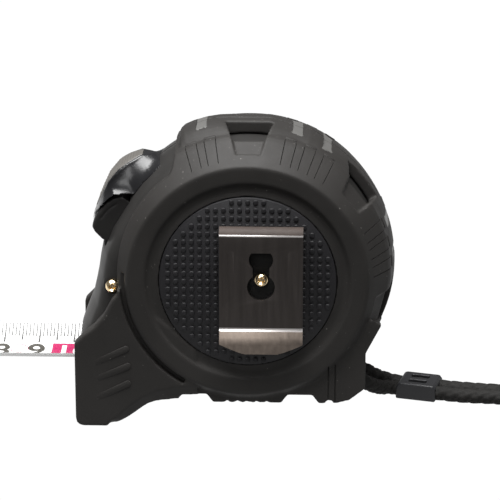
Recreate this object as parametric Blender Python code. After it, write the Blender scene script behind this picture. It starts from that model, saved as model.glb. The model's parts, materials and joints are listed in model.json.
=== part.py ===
"""A pocket tape measure with a rubber jacket, a belt clip and a wrist lanyard, as separate solids.

Frame: +Z up, the blade leaves towards -X, the belt clip is on the -Y side. The origin is the centre of
the flat base, straight under the centre of the round case. Sizes are written in millimetres from the
centre of the case, as (x, z) outlines with y across, and MM turns them into metres.
"""

import math

import bmesh
import bpy
from mathutils import Matrix, Vector

MM = 0.001

# The case
CENTRE_HEIGHT = 36.7  # centre of the round case above the flat base
FOOT_DROP = 43.6  # centre of the case down to the sole of the front foot
CROWN_RADIUS = 40.6
CROWN_CURVE = 43.0  # radius of the crown across the case
CREST_RADIUS = 42.4  # front end of the jacket's crown
CREST_HALF_WIDTH = 9.0
RING_RADIUS = 33.4
HALF_WIDTH = 20.0
FOOT_HALF_WIDTH = 19.4
TREAD_HALF_WIDTH = 17.4
HEEL_HALF_WIDTH = 8.0
SHOULDER_Y = 12.0
SEAM_Y = 1.2  # the two halves meet a little to the far side of the middle
GAP = 0.3  # between pieces that touch
DISC_RADIUS = 24.4
DISC_FACE = 19.6
TROUGH_FLOOR = 19.0  # the ring's sunken inner border, round the disc
TROUGH_RADIUS = 28.4
ROUND_STEPS = 72

# The shell under the jacket
SHELL_RADIUS = 37.3
SHELL_HALF_WIDTH = 16.4
SHELL_BASE = -33.4
SHELL_SHOULDER = ((32.5, 16.4), (37.3, 10.6))
CHAMBER_RADIUS = 34.4
CHAMBER_HALF_WIDTH = 13.9
CHAMBER_FLOOR = -31.2
MOUTH_FLOOR = -32.0
NOSE_HALF_WIDTH = 15.5
NOSE_HOLLOW_HALF_WIDTH = 13.3
TRACK_RADIUS = 39.1
NOSE_WALL = 2.0

# Reel and blade
REEL = (3.8, 1.4)
AXLE_RADIUS = 2.6
DRUM_RADIUS = 13.6
COIL_RADIUS = 28.0
BLADE_HALF_WIDTH = 12.0
BLADE_EDGE = -24.6
BLADE_SAG = 4.0
BLADE_THICKNESS = 0.35
BLADE_START = -10.5
BLADE_END = -149.4
HOOK_FACE = -150.6  # where the blade's scale starts
HOOK_THICKNESS = 1.0
HOOK_PLAY = 1.0

# Lock and stop button
SLIDER_HALF_WIDTH = 9.0
STEM_ANGLES = (140.5, 147.5)
TONGUE_RADII = (33.0, 34.6)
BUTTON_HALF_WIDTH = 8.0

# Belt clip
CLIP_HALF_WIDTH = 11.75
CLIP_THICKNESS = 0.9

# Lanyard
CORD_DIAMETER = 4.3
CORD_REST = -FOOT_DROP + CORD_DIAMETER / 2 + 0.02
POST_X = 27.0
POST_RADIUS = 1.6
BEAD_CENTRE = (48.4, 7.0)
BEAD_SIZE = (11.6, 9.8, 4.6)
BEAD_YAW = -14.7
# Route of the lanyard's centre line, from the back of the post round to the back again
LANYARD_ROUTE = (
    (22.8, 0.9, -34.0), (23.4, 2.4, -34.0), (25.2, 3.9, -34.0), (28.6, 4.5, -34.0),
    (32.0, 5.4, -35.1), (35.8, 7.9, -38.1), (39.3, 10.7, -40.5), (43.3, 10.7, CORD_REST),
    (49.0, 9.2, CORD_REST), (54.8, 7.7, CORD_REST), (62.0, 6.2, CORD_REST), (72.0, 5.0, CORD_REST),
    (90.0, 5.4, CORD_REST), (110.0, 9.5, CORD_REST), (132.0, 14.0, CORD_REST),
    (152.0, 14.5, CORD_REST), (165.0, 7.0, CORD_REST), (168.0, -6.0, CORD_REST),
    (158.0, -16.0, CORD_REST), (138.0, -17.5, CORD_REST), (115.0, -11.0, CORD_REST),
    (92.0, -3.0, CORD_REST), (72.0, 0.3, CORD_REST), (61.0, 1.4, CORD_REST),
    (53.6, 3.2, CORD_REST), (47.8, 4.8, CORD_REST), (43.2, 6.0, CORD_REST), (40.2, 5.2, -40.6),
    (37.6, 2.2, -39.5), (35.1, -1.2, -37.6), (32.0, -4.1, -35.1), (28.6, -4.5, -34.0),
    (25.2, -3.9, -34.0), (23.4, -2.4, -34.0), (22.8, -0.9, -34.0),
)
LEG_STEP = 2.2
LOOP_STEP = 6.5


# ---------------------------------------------------------------- shapes

def new_object(name, shape):
    bmesh.ops.recalc_face_normals(shape, faces=shape.faces)
    mesh = bpy.data.meshes.new(name)
    shape.to_mesh(mesh)
    shape.free()
    obj = bpy.data.objects.new(name, mesh)
    bpy.context.scene.collection.objects.link(obj)
    return obj


def at(x, y, z):
    """A point given in millimetres from the case's centre, in metres in the part's frame."""
    return Vector((x * MM, y * MM, (z + CENTRE_HEIGHT) * MM))


def extruded(name, outline, low, high):
    """An (x, z) outline made solid from y = low to y = high."""
    shape = bmesh.new()
    face = shape.faces.new([shape.verts.new(at(x, low, z)) for x, z in outline])
    grown = bmesh.ops.extrude_face_region(shape, geom=[face])["geom"]
    moved = [item for item in grown if isinstance(item, bmesh.types.BMVert)]
    bmesh.ops.translate(shape, verts=moved, vec=(0, (high - low) * MM, 0))
    return new_object(name, shape)


def block(name, low, high):
    """A box between two corners."""
    outline = ((low[0], low[2]), (high[0], low[2]), (high[0], high[2]), (low[0], high[2]))
    return extruded(name, outline, low[1], high[1])


def turned(name, profile, centre=(0.0, 0.0), steps=ROUND_STEPS, ring=False):
    """A (radius, y) profile turned about an axis along Y. A ring's profile is a closed loop."""
    shape = bmesh.new()
    verts = [shape.verts.new(at(centre[0] + radius, y, centre[1])) for radius, y in profile]
    edges = [shape.edges.new(pair) for pair in zip(verts, verts[1:])]
    if ring:
        edges.append(shape.edges.new((verts[-1], verts[0])))
    bmesh.ops.spin(
        shape, geom=verts + edges, cent=at(centre[0], 0, centre[1]), axis=(0, 1, 0),
        angle=2 * math.pi, steps=steps, use_merge=True,
    )
    bmesh.ops.remove_doubles(shape, verts=shape.verts, dist=1e-7)
    return new_object(name, shape)


def rod(name, centre, radius, low, high, steps=20):
    """A plain round bar along Y."""
    return turned(name, ((0, low), (radius, low), (radius, high), (0, high)), centre, steps)


def upright_rod(name, centre, radius, low, high, steps=20):
    """A plain round bar along Z, at (x, y)."""
    shape = bmesh.new()
    middle = at(centre[0], centre[1], (low + high) / 2)
    bmesh.ops.create_cone(
        shape, cap_ends=True, segments=steps, radius1=radius * MM, radius2=radius * MM,
        depth=(high - low) * MM, matrix=Matrix.Translation(middle),
    )
    return new_object(name, shape)


def combine(target, operation, *tools):
    """Applies a Boolean with each tool in turn, and removes the tools.

    The exact solver leaves edges shared by three faces where a hole crosses the seam, so the
    manifold solver is used. Every shape here is closed, as it needs.
    """
    for tool in tools:
        modifier = target.modifiers.new(operation, "BOOLEAN")
        modifier.operation = operation
        modifier.solver = "MANIFOLD"
        modifier.object = tool
        graph = bpy.context.evaluated_depsgraph_get()
        mesh = bpy.data.meshes.new_from_object(target.evaluated_get(graph))
        target.modifiers.clear()
        target.data = mesh
        bpy.data.objects.remove(tool)
    return target


def join(target, *tools):
    return combine(target, "UNION", *tools)


def cut(target, *tools):
    return combine(target, "DIFFERENCE", *tools)


def polar(radius, degrees):
    """An (x, z) point about the case's centre, counted from +X towards +Z."""
    angle = math.radians(degrees)
    return radius * math.cos(angle), radius * math.sin(angle)


def arc(radius, start, end, count):
    return [polar(radius, start + (end - start) * i / (count - 1)) for i in range(count)]


def copy_of(obj, name):
    other = bpy.data.objects.new(name, obj.data.copy())
    bpy.context.scene.collection.objects.link(other)
    return other


def halves(whole, near_name, far_name):
    """Splits a whole shape at the seam into its near and far halves."""
    reach = 260.0
    far = copy_of(whole, far_name)
    whole.name = near_name
    near_edge, far_edge = SEAM_Y - GAP / 2, SEAM_Y + GAP / 2
    cut(whole, block("tool", (-reach, near_edge, -reach), (reach, reach, reach)))
    cut(far, block("tool", (-reach, -reach, -reach), (reach, far_edge, reach)))
    return whole, far


# ---------------------------------------------------------------- looks

FINISHES = {
    "jacket_rubber": ((0.034, 0.032, 0.030), 0.62, 0.0),
    "shell_plastic": ((0.012, 0.012, 0.013), 0.22, 0.0),
    "disc_rubber": ((0.020, 0.020, 0.022), 0.55, 0.0),
    "clip_steel": ((0.42, 0.38, 0.35), 0.28, 1.0),
    "screw_steel": ((0.75, 0.60, 0.38), 0.25, 1.0),
    "blade_paint": ((0.90, 0.90, 0.88), 0.35, 0.0),
    "spring_steel": ((0.35, 0.36, 0.38), 0.35, 1.0),
    "hook_steel": ((0.55, 0.55, 0.56), 0.30, 1.0),
    "lock_plastic": ((0.014, 0.014, 0.016), 0.18, 0.0),
    "thumb_rubber": ((0.055, 0.052, 0.048), 0.60, 0.0),
    "brake_rubber": ((0.05, 0.05, 0.05), 0.80, 0.0),
    "inner_plastic": ((0.55, 0.55, 0.52), 0.45, 0.0),
    "cord_weave": ((0.012, 0.012, 0.012), 0.85, 0.0),
    "bead_plastic": ((0.030, 0.030, 0.034), 0.35, 0.0),
}


def material(finish):
    if finish in bpy.data.materials:
        return bpy.data.materials[finish]
    made = bpy.data.materials.new(finish)
    made.use_nodes = True
    colour, roughness, metallic = FINISHES[finish]
    shader = made.node_tree.nodes["Principled BSDF"]
    shader.inputs["Base Color"].default_value = (*colour, 1)
    shader.inputs["Roughness"].default_value = roughness
    shader.inputs["Metallic"].default_value = metallic
    return made


def finish(obj, name, parent, smooth=True):
    """Gives a piece its material, puts its origin on its parent's and parents it there."""
    obj.data.materials.clear()
    obj.data.materials.append(material(name))
    obj.data.transform(Matrix.Translation(-parent.location))
    obj.parent = parent
    if smooth:
        obj.data.shade_smooth()
        obj.data.set_sharp_from_angle(angle=math.radians(35))
    return obj


def pivot(name, point):
    empty = bpy.data.objects.new(name, None)
    empty.location = point
    bpy.context.scene.collection.objects.link(empty)
    return empty


# ---------------------------------------------------------------- outlines

def nose_outline(wall):
    """The front of the shell, from the slider's track down to the mouth, moved in by wall."""
    track = arc(TRACK_RADIUS - wall, 119, 151, 9)
    face = [
        (-38.3, 12.2), (-41.0, 5.6), (-41.8, 1.5), (-42.3, -2.0), (-43.0, -5.5), (-43.9, -9.5),
        (-45.1, -12.5), (-46.2, -15.5), (-47.3, -18.6), (-47.8, -21.5),
    ]
    return track + [(x + wall, z - wall * 0.3) for x, z in face]


def foot_outline():
    """The side of the jacket's front foot."""
    upper = [
        (-34.9, -2.5), (-36.4, -3.3), (-37.7, -6.3), (-39.8, -10.4), (-42.6, -13.8), (-45.0, -15.7),
        (-47.4, -17.3), (-48.2, -19.0),
    ]
    toe = [(-48.2, -41.6), (-47.5, -43.0), (-46.2, -FOOT_DROP), (-39.4, -FOOT_DROP), (-38.5, -42.8)]
    arch = [(-35.6, -42.2), (-32.7, -40.7), (-29.9, -38.8), (-26.3, -37.2), (-21.0, -CENTRE_HEIGHT)]
    return upper + toe + arch + [(-14.0, -CENTRE_HEIGHT), (-14.0, -20.0)]


def crown_profile():
    """(radius, y) of the jacket's outside, from the near ring to the far ring."""
    crown = []
    for step in range(-4, 5):
        y = SHOULDER_Y * step / 4
        crown.append((CROWN_RADIUS - y * y / (2 * CROWN_CURVE), y))
    near = [(RING_RADIUS, -HALF_WIDTH), (RING_RADIUS + 0.9, -HALF_WIDTH + 0.5)]
    far = [(radius, -y) for radius, y in reversed(near)]
    return near + crown + far


# ---------------------------------------------------------------- case

def shell_body(grow):
    """The shell's outside, with grow added all round."""
    near = [(radius + grow, -y - grow) for radius, y in SHELL_SHOULDER]
    far = [(radius, -y) for radius, y in reversed(near)]
    side = SHELL_HALF_WIDTH + grow
    body = turned("tool", [(0, -side)] + near + far + [(0, side)])
    cut(body, block("tool", (-60, -30, -60), (60, 30, SHELL_BASE - grow)))
    front = nose_outline(-grow) + [
        (-47.8 - grow, -31.0), (-44.8 - grow, -31.0), (-44.8 - grow, -39.9 - grow),
        (-36.0, -39.6 - grow), (-30.0, -36.2 - grow), (-24.0, -34.2 - grow),
        (-20.0, SHELL_BASE - grow), (-10.0, -20.0), (-8.0, 25.0), (-17.0, 33.0),
    ]
    nose = extruded("tool", front, -NOSE_HALF_WIDTH - grow, NOSE_HALF_WIDTH + grow)
    heel = extruded(
        "tool",
        (
            (18.0, -34.6 - grow), (30.2 + grow, -34.6 - grow), (30.2 + grow, -28.5),
            (29.6 + grow, -24.0), (32.2 + grow, -18.0), (18.0, -10.0),
        ),
        -12.0 - grow, 12.0 + grow,
    )
    return join(body, nose, heel)


def screw_hole(centre, radius, low=-30, high=30):
    return rod("tool", centre, radius, low, high)


NOSE_SCREW = (-37.6, -3.3)
FOOT_SCREW = (-38.6, -35.6)
HEEL_SCREW = (27.4, -25.3)
CLIP_SCREW = REEL
SHANK_RADIUS = 1.2
HOLE_RADIUS = SHANK_RADIUS + GAP
HEAD_RADIUS = 1.95
SOCKET_RADIUS = HEAD_RADIUS + GAP


def shells():
    whole = shell_body(0.0)
    slope = [(radius - 1.5, -y) for radius, y in ((32.7, 13.9), (35.9, 10.0))]
    mirror = [(radius, -y) for radius, y in reversed(slope)]
    chamber = turned(
        "tool", [(0, -CHAMBER_HALF_WIDTH)] + slope + mirror + [(0, CHAMBER_HALF_WIDTH)]
    )
    cut(chamber, block("tool", (-60, -30, -60), (60, 30, CHAMBER_FLOOR)))
    hollow = nose_outline(NOSE_WALL) + [(-45.6, -22.5), (-20.0, -22.5), (-15.0, 22.0)]
    reach = NOSE_HOLLOW_HALF_WIDTH
    cut(whole, chamber, extruded("tool", hollow, -reach, reach))
    cut(whole, block("tool", (-60.0, -reach, CHAMBER_FLOOR), (-13.0, reach, -22.4)))
    cut(whole, block("tool", (-60.0, -reach, MOUTH_FLOOR), (-34.2, reach, -30.0)))
    post = turned("tool", ((0, -15), (2.7, -15), (2.7, 15), (0, 15)), NOSE_SCREW, 20)
    join(whole, post)
    button_room = ((-46.5, 6.9), (-36.9, 5.9), (-31.4, 18.0), (-34.6, 21.4), (-46.5, 21.4))
    cut(
        whole,
        extruded("tool", arc(35.0, 131.5, 148.2, 7) + arc(42.0, 148.2, 131.5, 7), -2.9, 2.9),
        extruded("tool", button_room, -BUTTON_HALF_WIDTH - GAP, BUTTON_HALF_WIDTH + GAP),
        screw_hole(NOSE_SCREW, HOLE_RADIUS, -30, 11.5),
        screw_hole(NOSE_SCREW, SOCKET_RADIUS, -30, -14.2),
        screw_hole(FOOT_SCREW, HOLE_RADIUS, -11.5, 30),
        screw_hole(FOOT_SCREW, SOCKET_RADIUS, 12.0, 30),
        screw_hole(HEEL_SCREW, HOLE_RADIUS, -10.4, 30),
        screw_hole(HEEL_SCREW, SOCKET_RADIUS, 9.5, 30),
        screw_hole(REEL, HOLE_RADIUS + 0.1, -30, -10),
        rod("tool", REEL, AXLE_RADIUS + GAP, -15.1, 15.1, 24),
        lanyard_slot(),
        upright_rod("tool", (POST_X, 0), POST_RADIUS + GAP, -36, -28.2),
    )
    near, far = halves(whole, "near_shell", "far_shell")
    return near, far


def lanyard_slot():
    return block("tool", (20.3, -7.9, -36.3), (40.0, 7.9, -31.5))


def opening(centre_angle, near, far, floor, side):
    """A tapering cutter into the jacket's crown.

    near and far are its (half-width, distance across) at the two ends, floor is the radius that
    its bottom has at each, and side is -1 or +1 for the near or the far half.
    """
    shape = bmesh.new()
    bottom, top = [], []
    for (half, across), radius, ends in ((near, floor[0], (-1, 1)), (far, floor[1], (1, -1))):
        for end in ends:
            x, y = end * half * MM, side * across * MM
            bottom.append(shape.verts.new((x, y, radius * MM)))
            top.append(shape.verts.new((x, y, CUTTER_TOP * MM)))
    shape.faces.new(bottom)
    shape.faces.new(top)
    for i in range(4):
        j = (i + 1) % 4
        shape.faces.new((bottom[i], bottom[j], top[j], top[i]))
    turn = Matrix.Rotation(math.radians(90 - centre_angle), 4, "Y")
    bmesh.ops.transform(shape, matrix=Matrix.Translation(at(0, 0, 0)) @ turn, verts=shape.verts)
    return new_object("tool", shape)


WINDOW_ANGLES = (90.0, 38.3, -13.7)
WINDOW_FLOOR = (33.0, 33.0)
CUTTER_TOP = 46.0
LEDGE_FLOOR = (38.1, 35.2)


def windows(angle):
    """The near window with the sunken ledge below it, and the shorter far window."""
    return (
        opening(angle, (6.7, 2.5), (4.75, 11.4), WINDOW_FLOOR, -1),
        opening(angle, (4.75, 11.2), (3.45, 16.6), LEDGE_FLOOR, -1),
        opening(angle, (4.8, 10.5), (3.4, 16.2), WINDOW_FLOOR, 1),
    )


def jackets():
    whole = turned("tool", crown_profile() + [(20.0, HALF_WIDTH), (20.0, -HALF_WIDTH)], ring=True)
    crest_top = [polar(41.1, 62), polar(41.4, 70), polar(41.4, 98), polar(41.8, 104)]
    crest_end = [polar(CREST_RADIUS, 112), polar(CREST_RADIUS, 115.5), polar(41.2, 117.5)]
    crest = extruded(
        "tool", arc(CROWN_RADIUS - 0.5, 119, 60, 14) + crest_top + crest_end,
        -CREST_HALF_WIDTH, CREST_HALF_WIDTH,
    )
    tread = extruded(
        "tool",
        (
            (-21.0, -CENTRE_HEIGHT - 3), (28.2, -CENTRE_HEIGHT - 3), (28.2, -CENTRE_HEIGHT),
            (32.2, -34.0), (32.7, -33.0), (32.7, -28.0), (31.0, -26.0), (-21.0, -26.0),
        ),
        -TREAD_HALF_WIDTH, TREAD_HALF_WIDTH,
    )
    heel = extruded(
        "tool",
        (
            (20.0, -32.0), (32.7, -32.0), (32.7, -29.5), (33.2, -27.5), (34.9, -24.4), (36.4, -21.3),
            (38.3, -15.4), (39.2, -10.0), (20.0, -5.0),
        ),
        -HEEL_HALF_WIDTH, HEEL_HALF_WIDTH,
    )
    join(whole, crest, tread, heel)
    cut(whole, block("tool", (-60, -30, -60), (60, 30, -CENTRE_HEIGHT)))
    join(whole, extruded("tool", foot_outline(), -FOOT_HALF_WIDTH, FOOT_HALF_WIDTH))
    front_end = [polar(36.7, 125.2), polar(37.8, 123), polar(39.6, 121), polar(42, 119.2), polar(60, 118.4)]
    nose_room = arc(36.3, 187, 127, 13) + front_end + [
        polar(70, 150), (-70, -19), (-48.2, -19.0), (-45.0, -15.7), (-42.6, -13.8), (-39.8, -10.4),
        (-37.7, -6.3),
    ]
    cut(whole, extruded("tool", nose_room, -30, 30))
    cut(whole, shell_body(GAP))
    border = ((24.0, TROUGH_FLOOR), (27.7, TROUGH_FLOOR), (TROUGH_RADIUS, 21.0), (24.0, 21.0))
    cut(
        whole,
        block("tool", (-60, -NOSE_HALF_WIDTH - GAP, CHAMBER_FLOOR), (-40, NOSE_HALF_WIDTH + GAP, 5)),
        block("tool", (-60, -NOSE_HALF_WIDTH - GAP, MOUTH_FLOOR), (-44, NOSE_HALF_WIDTH + GAP, -20)),
        rod("tool", (0, 0), DISC_RADIUS + GAP, -30, 30, ROUND_STEPS),
        turned("tool", border, ring=True),
        turned("tool", [(radius, -y) for radius, y in border], ring=True),
        lanyard_slot(),
        screw_hole(NOSE_SCREW, SOCKET_RADIUS, -16.6, -12.0),
        screw_hole(FOOT_SCREW, SOCKET_RADIUS, 12.0, 30),
        screw_hole(HEEL_SCREW, SOCKET_RADIUS, 9.5, 30),
    )
    slope = 1.9
    top = -CENTRE_HEIGHT + 2.5
    base = -CENTRE_HEIGHT - 1
    for left, right in ((-20.2, -9.7), (9.2, 19.8)):
        notch = ((left - 0.7, base), (left + slope, top), (right - slope, top), (right + 0.7, base))
        cut(whole, extruded("tool", notch, -30, 30))
    for angle in WINDOW_ANGLES:
        cut(whole, *windows(angle))
    return halves(whole, "near_jacket", "far_jacket")


def discs():
    made = []
    back = SHELL_HALF_WIDTH + GAP + 0.05
    for name, low, high in (("near_disc", -DISC_FACE, -back), ("far_disc", back, DISC_FACE)):
        made.append(rod(name, (0, 0), DISC_RADIUS, low, high, ROUND_STEPS))
    cut(made[0], screw_hole(CLIP_SCREW, HOLE_RADIUS + 0.1))
    return made


# ---------------------------------------------------------------- reel and blade

def reel_pieces():
    axle = turned(
        "reel_axle",
        ((0, -8.0), (1.6, -8.0), (1.6, -14.8), (AXLE_RADIUS, -14.8), (AXLE_RADIUS, 14.8), (0, 14.8)),
        REEL, 24,
    )
    drum = turned(
        "reel_drum",
        (
            (3.2, 11.2), (DRUM_RADIUS - 1.8, 11.2), (DRUM_RADIUS - 1.8, -12.6), (DRUM_RADIUS, -12.6),
            (DRUM_RADIUS, 12.6), (3.2, 12.6),
        ),
        REEL, 36, ring=True,
    )
    cover = turned(
        "spring_cover", ((3.2, -12.2), (11.4, -12.2), (11.4, -11.3), (3.2, -11.3)), REEL, 32, ring=True
    )
    coil = turned(
        "coiled_blade",
        ((DRUM_RADIUS + GAP, -12.3), (COIL_RADIUS, -12.3), (COIL_RADIUS, 12.3), (DRUM_RADIUS + GAP, 12.3)),
        REEL, 56, ring=True,
    )
    washers = []
    for name, low in (("near_washer", -13.6), ("far_washer", 13.0)):
        washers.append(turned(
            name, ((3.2, low), (6.5, low), (6.5, low + 0.6), (3.2, low + 0.6)), REEL, 28, ring=True
        ))
    return axle, drum, cover, coil, washers


def power_spring():
    """A flat spiral, wound from the axle out to the drum."""
    turns, steps = 4.6, 96
    inner, outer, thickness = 3.4, 11.1, 0.45
    inside, outside = [], []
    for i in range(steps + 1):
        angle = 2 * math.pi * turns * i / steps
        radius = inner + (outer - inner) * i / steps
        for points, r in ((inside, radius), (outside, radius + thickness)):
            points.append((REEL[0] + r * math.cos(angle), REEL[1] + r * math.sin(angle)))
    return extruded("power_spring", inside + outside[::-1], -10.8, 10.7)


def blade_section(offset, half_width, count=9):
    """(y, z) points across the hollow-curved blade, offset down from its upper face."""
    radius = (BLADE_HALF_WIDTH ** 2 + BLADE_SAG ** 2) / (2 * BLADE_SAG)
    centre = BLADE_EDGE - BLADE_SAG + radius
    points = []
    for i in range(count):
        y = half_width * (2 * i / (count - 1) - 1)
        points.append((y, centre - math.sqrt((radius + offset) ** 2 - y * y)))
    return points


def along_x(name, section, low, high):
    """A (y, z) section made solid from x = low to x = high."""
    shape = bmesh.new()
    face = shape.faces.new([shape.verts.new(at(low, y, z)) for y, z in section])
    grown = bmesh.ops.extrude_face_region(shape, geom=[face])["geom"]
    moved = [item for item in grown if isinstance(item, bmesh.types.BMVert)]
    bmesh.ops.translate(shape, verts=moved, vec=((high - low) * MM, 0, 0))
    return new_object(name, shape)


def curved_plate(name, offset, thickness, half_width, low, high):
    """A plate that follows the blade's curve, from x = low to x = high."""
    upper = blade_section(offset, half_width)
    lower = blade_section(offset + thickness, half_width)
    return along_x(name, upper + lower[::-1], low, high)


RIVET_X = (-141.0, -146.2)
RIVET_SHANK = 0.9
RIVET_HEAD = 1.7
HOOK_OFFSET = BLADE_THICKNESS + GAP


def blade_strip():
    strip = curved_plate("blade_strip", 0.0, BLADE_THICKNESS, BLADE_HALF_WIDTH, BLADE_END, BLADE_START)
    for x in RIVET_X:
        cut(strip, upright_rod("tool", (x, 0), RIVET_SHANK + GAP, -32, -24, 12))
    return strip


def blade_floor():
    """Height of the middle of the blade's upper face."""
    return BLADE_EDGE - BLADE_SAG


def end_hook():
    plate = curved_plate(
        "end_hook", HOOK_OFFSET, HOOK_THICKNESS, 8.5, HOOK_FACE - HOOK_THICKNESS, -137.0
    )
    drop = 11.0
    top = BLADE_EDGE - 1.6
    low = blade_floor() - drop
    face = (
        (-9.0, top), (-8.5, low + 2.0), (-7.0, low + 0.4), (-5.0, low), (5.0, low), (7.0, low + 0.4),
        (8.5, low + 2.0), (9.0, top), (0.0, blade_floor() + 1.2),
    )
    join(plate, along_x("tool", face, HOOK_FACE - HOOK_THICKNESS, HOOK_FACE))
    for x in RIVET_X:
        reach = RIVET_SHANK + GAP
        slot = extruded(
            "tool",
            ((x - reach - HOOK_PLAY, -33), (x + reach, -33), (x + reach, -25), (x - reach - HOOK_PLAY, -25)),
            -reach, reach,
        )
        cut(plate, slot)
    return plate


def hook_rivet(name, x):
    """A rivet through the blade and the hook's slot, with a flat head on each side."""
    top = blade_floor() + GAP
    under = blade_floor() - HOOK_OFFSET - HOOK_THICKNESS - GAP
    obj = upright_rod(name, (x, 0), RIVET_SHANK, under - 0.3, top + 0.3, 16)
    for low, high in ((top, top + 0.6), (under - 0.7, under)):
        join(obj, upright_rod("tool", (x, 0), RIVET_HEAD, low, high, 16))
    return obj


def blade_guide():
    """The smooth saddle under the blade, behind the mouth."""
    low, high = -33.8, -22.0
    guide = curved_plate("blade_guide", BLADE_THICKNESS + GAP, 0.9, 12.6, low, high)
    top = blade_floor() - BLADE_THICKNESS - 2 * GAP
    return join(guide, block("tool", (low, -10.0, CHAMBER_FLOOR + GAP), (high, 10.0, top)))


# ---------------------------------------------------------------- lock and button

def lock_pieces():
    under = TRACK_RADIUS + 0.4
    top = [
        (-26.5, 31.0), (-30.1, 31.0), (-33.7, 29.2), (-36.2, 27.5), (-39.0, 24.1), (-40.7, 20.5),
        (-42.1, 17.2), (-43.4, 14.0),
    ]
    edge = [(-43.7, 12.9), (-41.9, 16.3), (-39.8, 19.2), (-37.3, 21.3)]
    slider = extruded(
        "lock_slider",
        arc(under, 146.0, 129.3, 7) + top + edge,
        -SLIDER_HALF_WIDTH, SLIDER_HALF_WIDTH,
    )
    stem = arc(34.9, STEM_ANGLES[0], STEM_ANGLES[1], 3) + arc(under + 1, STEM_ANGLES[1], STEM_ANGLES[0], 3)
    join(slider, extruded("tool", stem, -2.5, 2.5))
    floor = [(x + 0.95, z - 0.75) for x, z in top[1:]]
    outside = [(x - 3.0, z + 3.0) for x, z in top[1:]]
    cut(slider, extruded("tool", floor + outside[::-1], -5.3, 5.3))
    pad_top = [(-31.3, 30.4)] + top[2:-1]
    pad_floor = [(x + 0.65, z - 0.5) for x, z in reversed(pad_top)]
    thumb = extruded("thumb_pad", pad_top + pad_floor, -5.0, 5.0)
    inner, outer = TONGUE_RADII
    tongue = extruded(
        "lock_tongue",
        arc(inner, 139.0, 212.5, 22) + [(-27.2, -22.3), (-31.6, -22.3)] + arc(outer, 213.5, 139.0, 22),
        -4.0, 4.0,
    )
    shoe = extruded(
        "brake_shoe", ((-31.9, -22.6), (-32.4, -27.4), (-26.8, -27.4), (-27.0, -22.6)), -4.4, 4.4
    )
    return slider, thumb, tongue, shoe


def button_pieces():
    outline = (
        (-35.3, 20.5), (-37.4, 20.0), (-39.9, 18.3), (-42.2, 15.4), (-43.4, 12.6), (-43.6, 11.4),
        (-42.9, 10.0), (-40.9, 7.9), (-37.3, 6.7), (-32.9, 18.8),
    )
    button = extruded("stop_button", outline, -BUTTON_HALF_WIDTH, BUTTON_HALF_WIDTH)
    leaf = extruded(
        "button_spring",
        ((-37.4, 0.9), (-36.9, 0.7), (-35.6, 5.5), (-33.6, 11.0), (-34.2, 11.2), (-36.2, 5.7)),
        5.0, 8.0,
    )
    return button, leaf


# ---------------------------------------------------------------- screws and clip

def screw(name, centre, head_y, head_depth, tip_y, side):
    """A pan-head screw along Y. side is -1 where the head faces -Y, and +1 where it faces +Y."""
    under = head_y - side * head_depth
    low_profile = [
        (0, head_y), (HEAD_RADIUS * 0.7, head_y), (HEAD_RADIUS, head_y - side * head_depth * 0.45),
        (HEAD_RADIUS, under), (SHANK_RADIUS, under), (SHANK_RADIUS, tip_y), (0, tip_y),
    ]
    made = turned(name, low_profile, centre, 24)
    cross = 0.42
    inner = head_y - side * head_depth * 0.6
    low, high = sorted((inner, head_y + side))
    for wide, tall in ((1.35, cross), (cross, 1.35)):
        x, z = centre
        cut(made, block("tool", (x - wide, low, z - tall), (x + wide, high, z + tall)))
    return made


def clip_outline():
    """(y, z) centre line of the clip's folded strip, from the back plate up and over to the lip."""
    fold_y, fold_z, fold_radius = -22.45, 14.5, 2.05
    line = [(fold_y + fold_radius, -6.5)]
    for i in range(9):
        angle = math.pi * i / 8
        line.append((fold_y + fold_radius * math.cos(angle), fold_z + fold_radius * math.sin(angle)))
    line += [(-24.4, 1.5), (-24.0, -11.7), (-24.4, -13.7), (-25.3, -15.9), (-26.7, -18.5)]
    return line


def thickened(line, half):
    """A line of (y, z) points made into a closed strip."""
    left, right = [], []
    for i, here in enumerate(line):
        before = line[max(i - 1, 0)]
        after = line[min(i + 1, len(line) - 1)]
        along = Vector((after[0] - before[0], after[1] - before[1])).normalized()
        left.append((here[0] - along.y * half, here[1] + along.x * half))
        right.append((here[0] + along.y * half, here[1] - along.x * half))
    return left + right[::-1]


CLIP_X = REEL[0]


def belt_clip():
    section = thickened(clip_outline(), CLIP_THICKNESS / 2)
    clip = along_x("belt_clip", section, CLIP_X - CLIP_HALF_WIDTH, CLIP_X + CLIP_HALF_WIDTH)
    front = (-30.0, -22.9)  # reaches through the front plate and not the back one
    cut(
        clip,
        block("tool", (CLIP_X - 1.9, front[0], 2.0), (CLIP_X + 1.9, front[1], 8.5)),
        rod("tool", (CLIP_X, 9.5), 3.2, *front, 28),
        rod("tool", CLIP_SCREW, 3.9, *front, 28),
        rod("tool", CLIP_SCREW, HOLE_RADIUS + 0.1, -22.9, -15, 20),
    )
    for side in (-1, 1):
        edge = CLIP_X + side * CLIP_HALF_WIDTH
        inner = CLIP_X + side * (CLIP_HALF_WIDTH - 5.5)
        low = -26.0
        corner = (
            (edge + side, -14.3), (edge, -15.5), (edge - side * 1.6, -16.9), (inner, -18.9),
            (inner, low), (edge + side, low),
        )
        cut(clip, extruded("tool", corner, *front))
    return clip


# ---------------------------------------------------------------- lanyard

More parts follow.
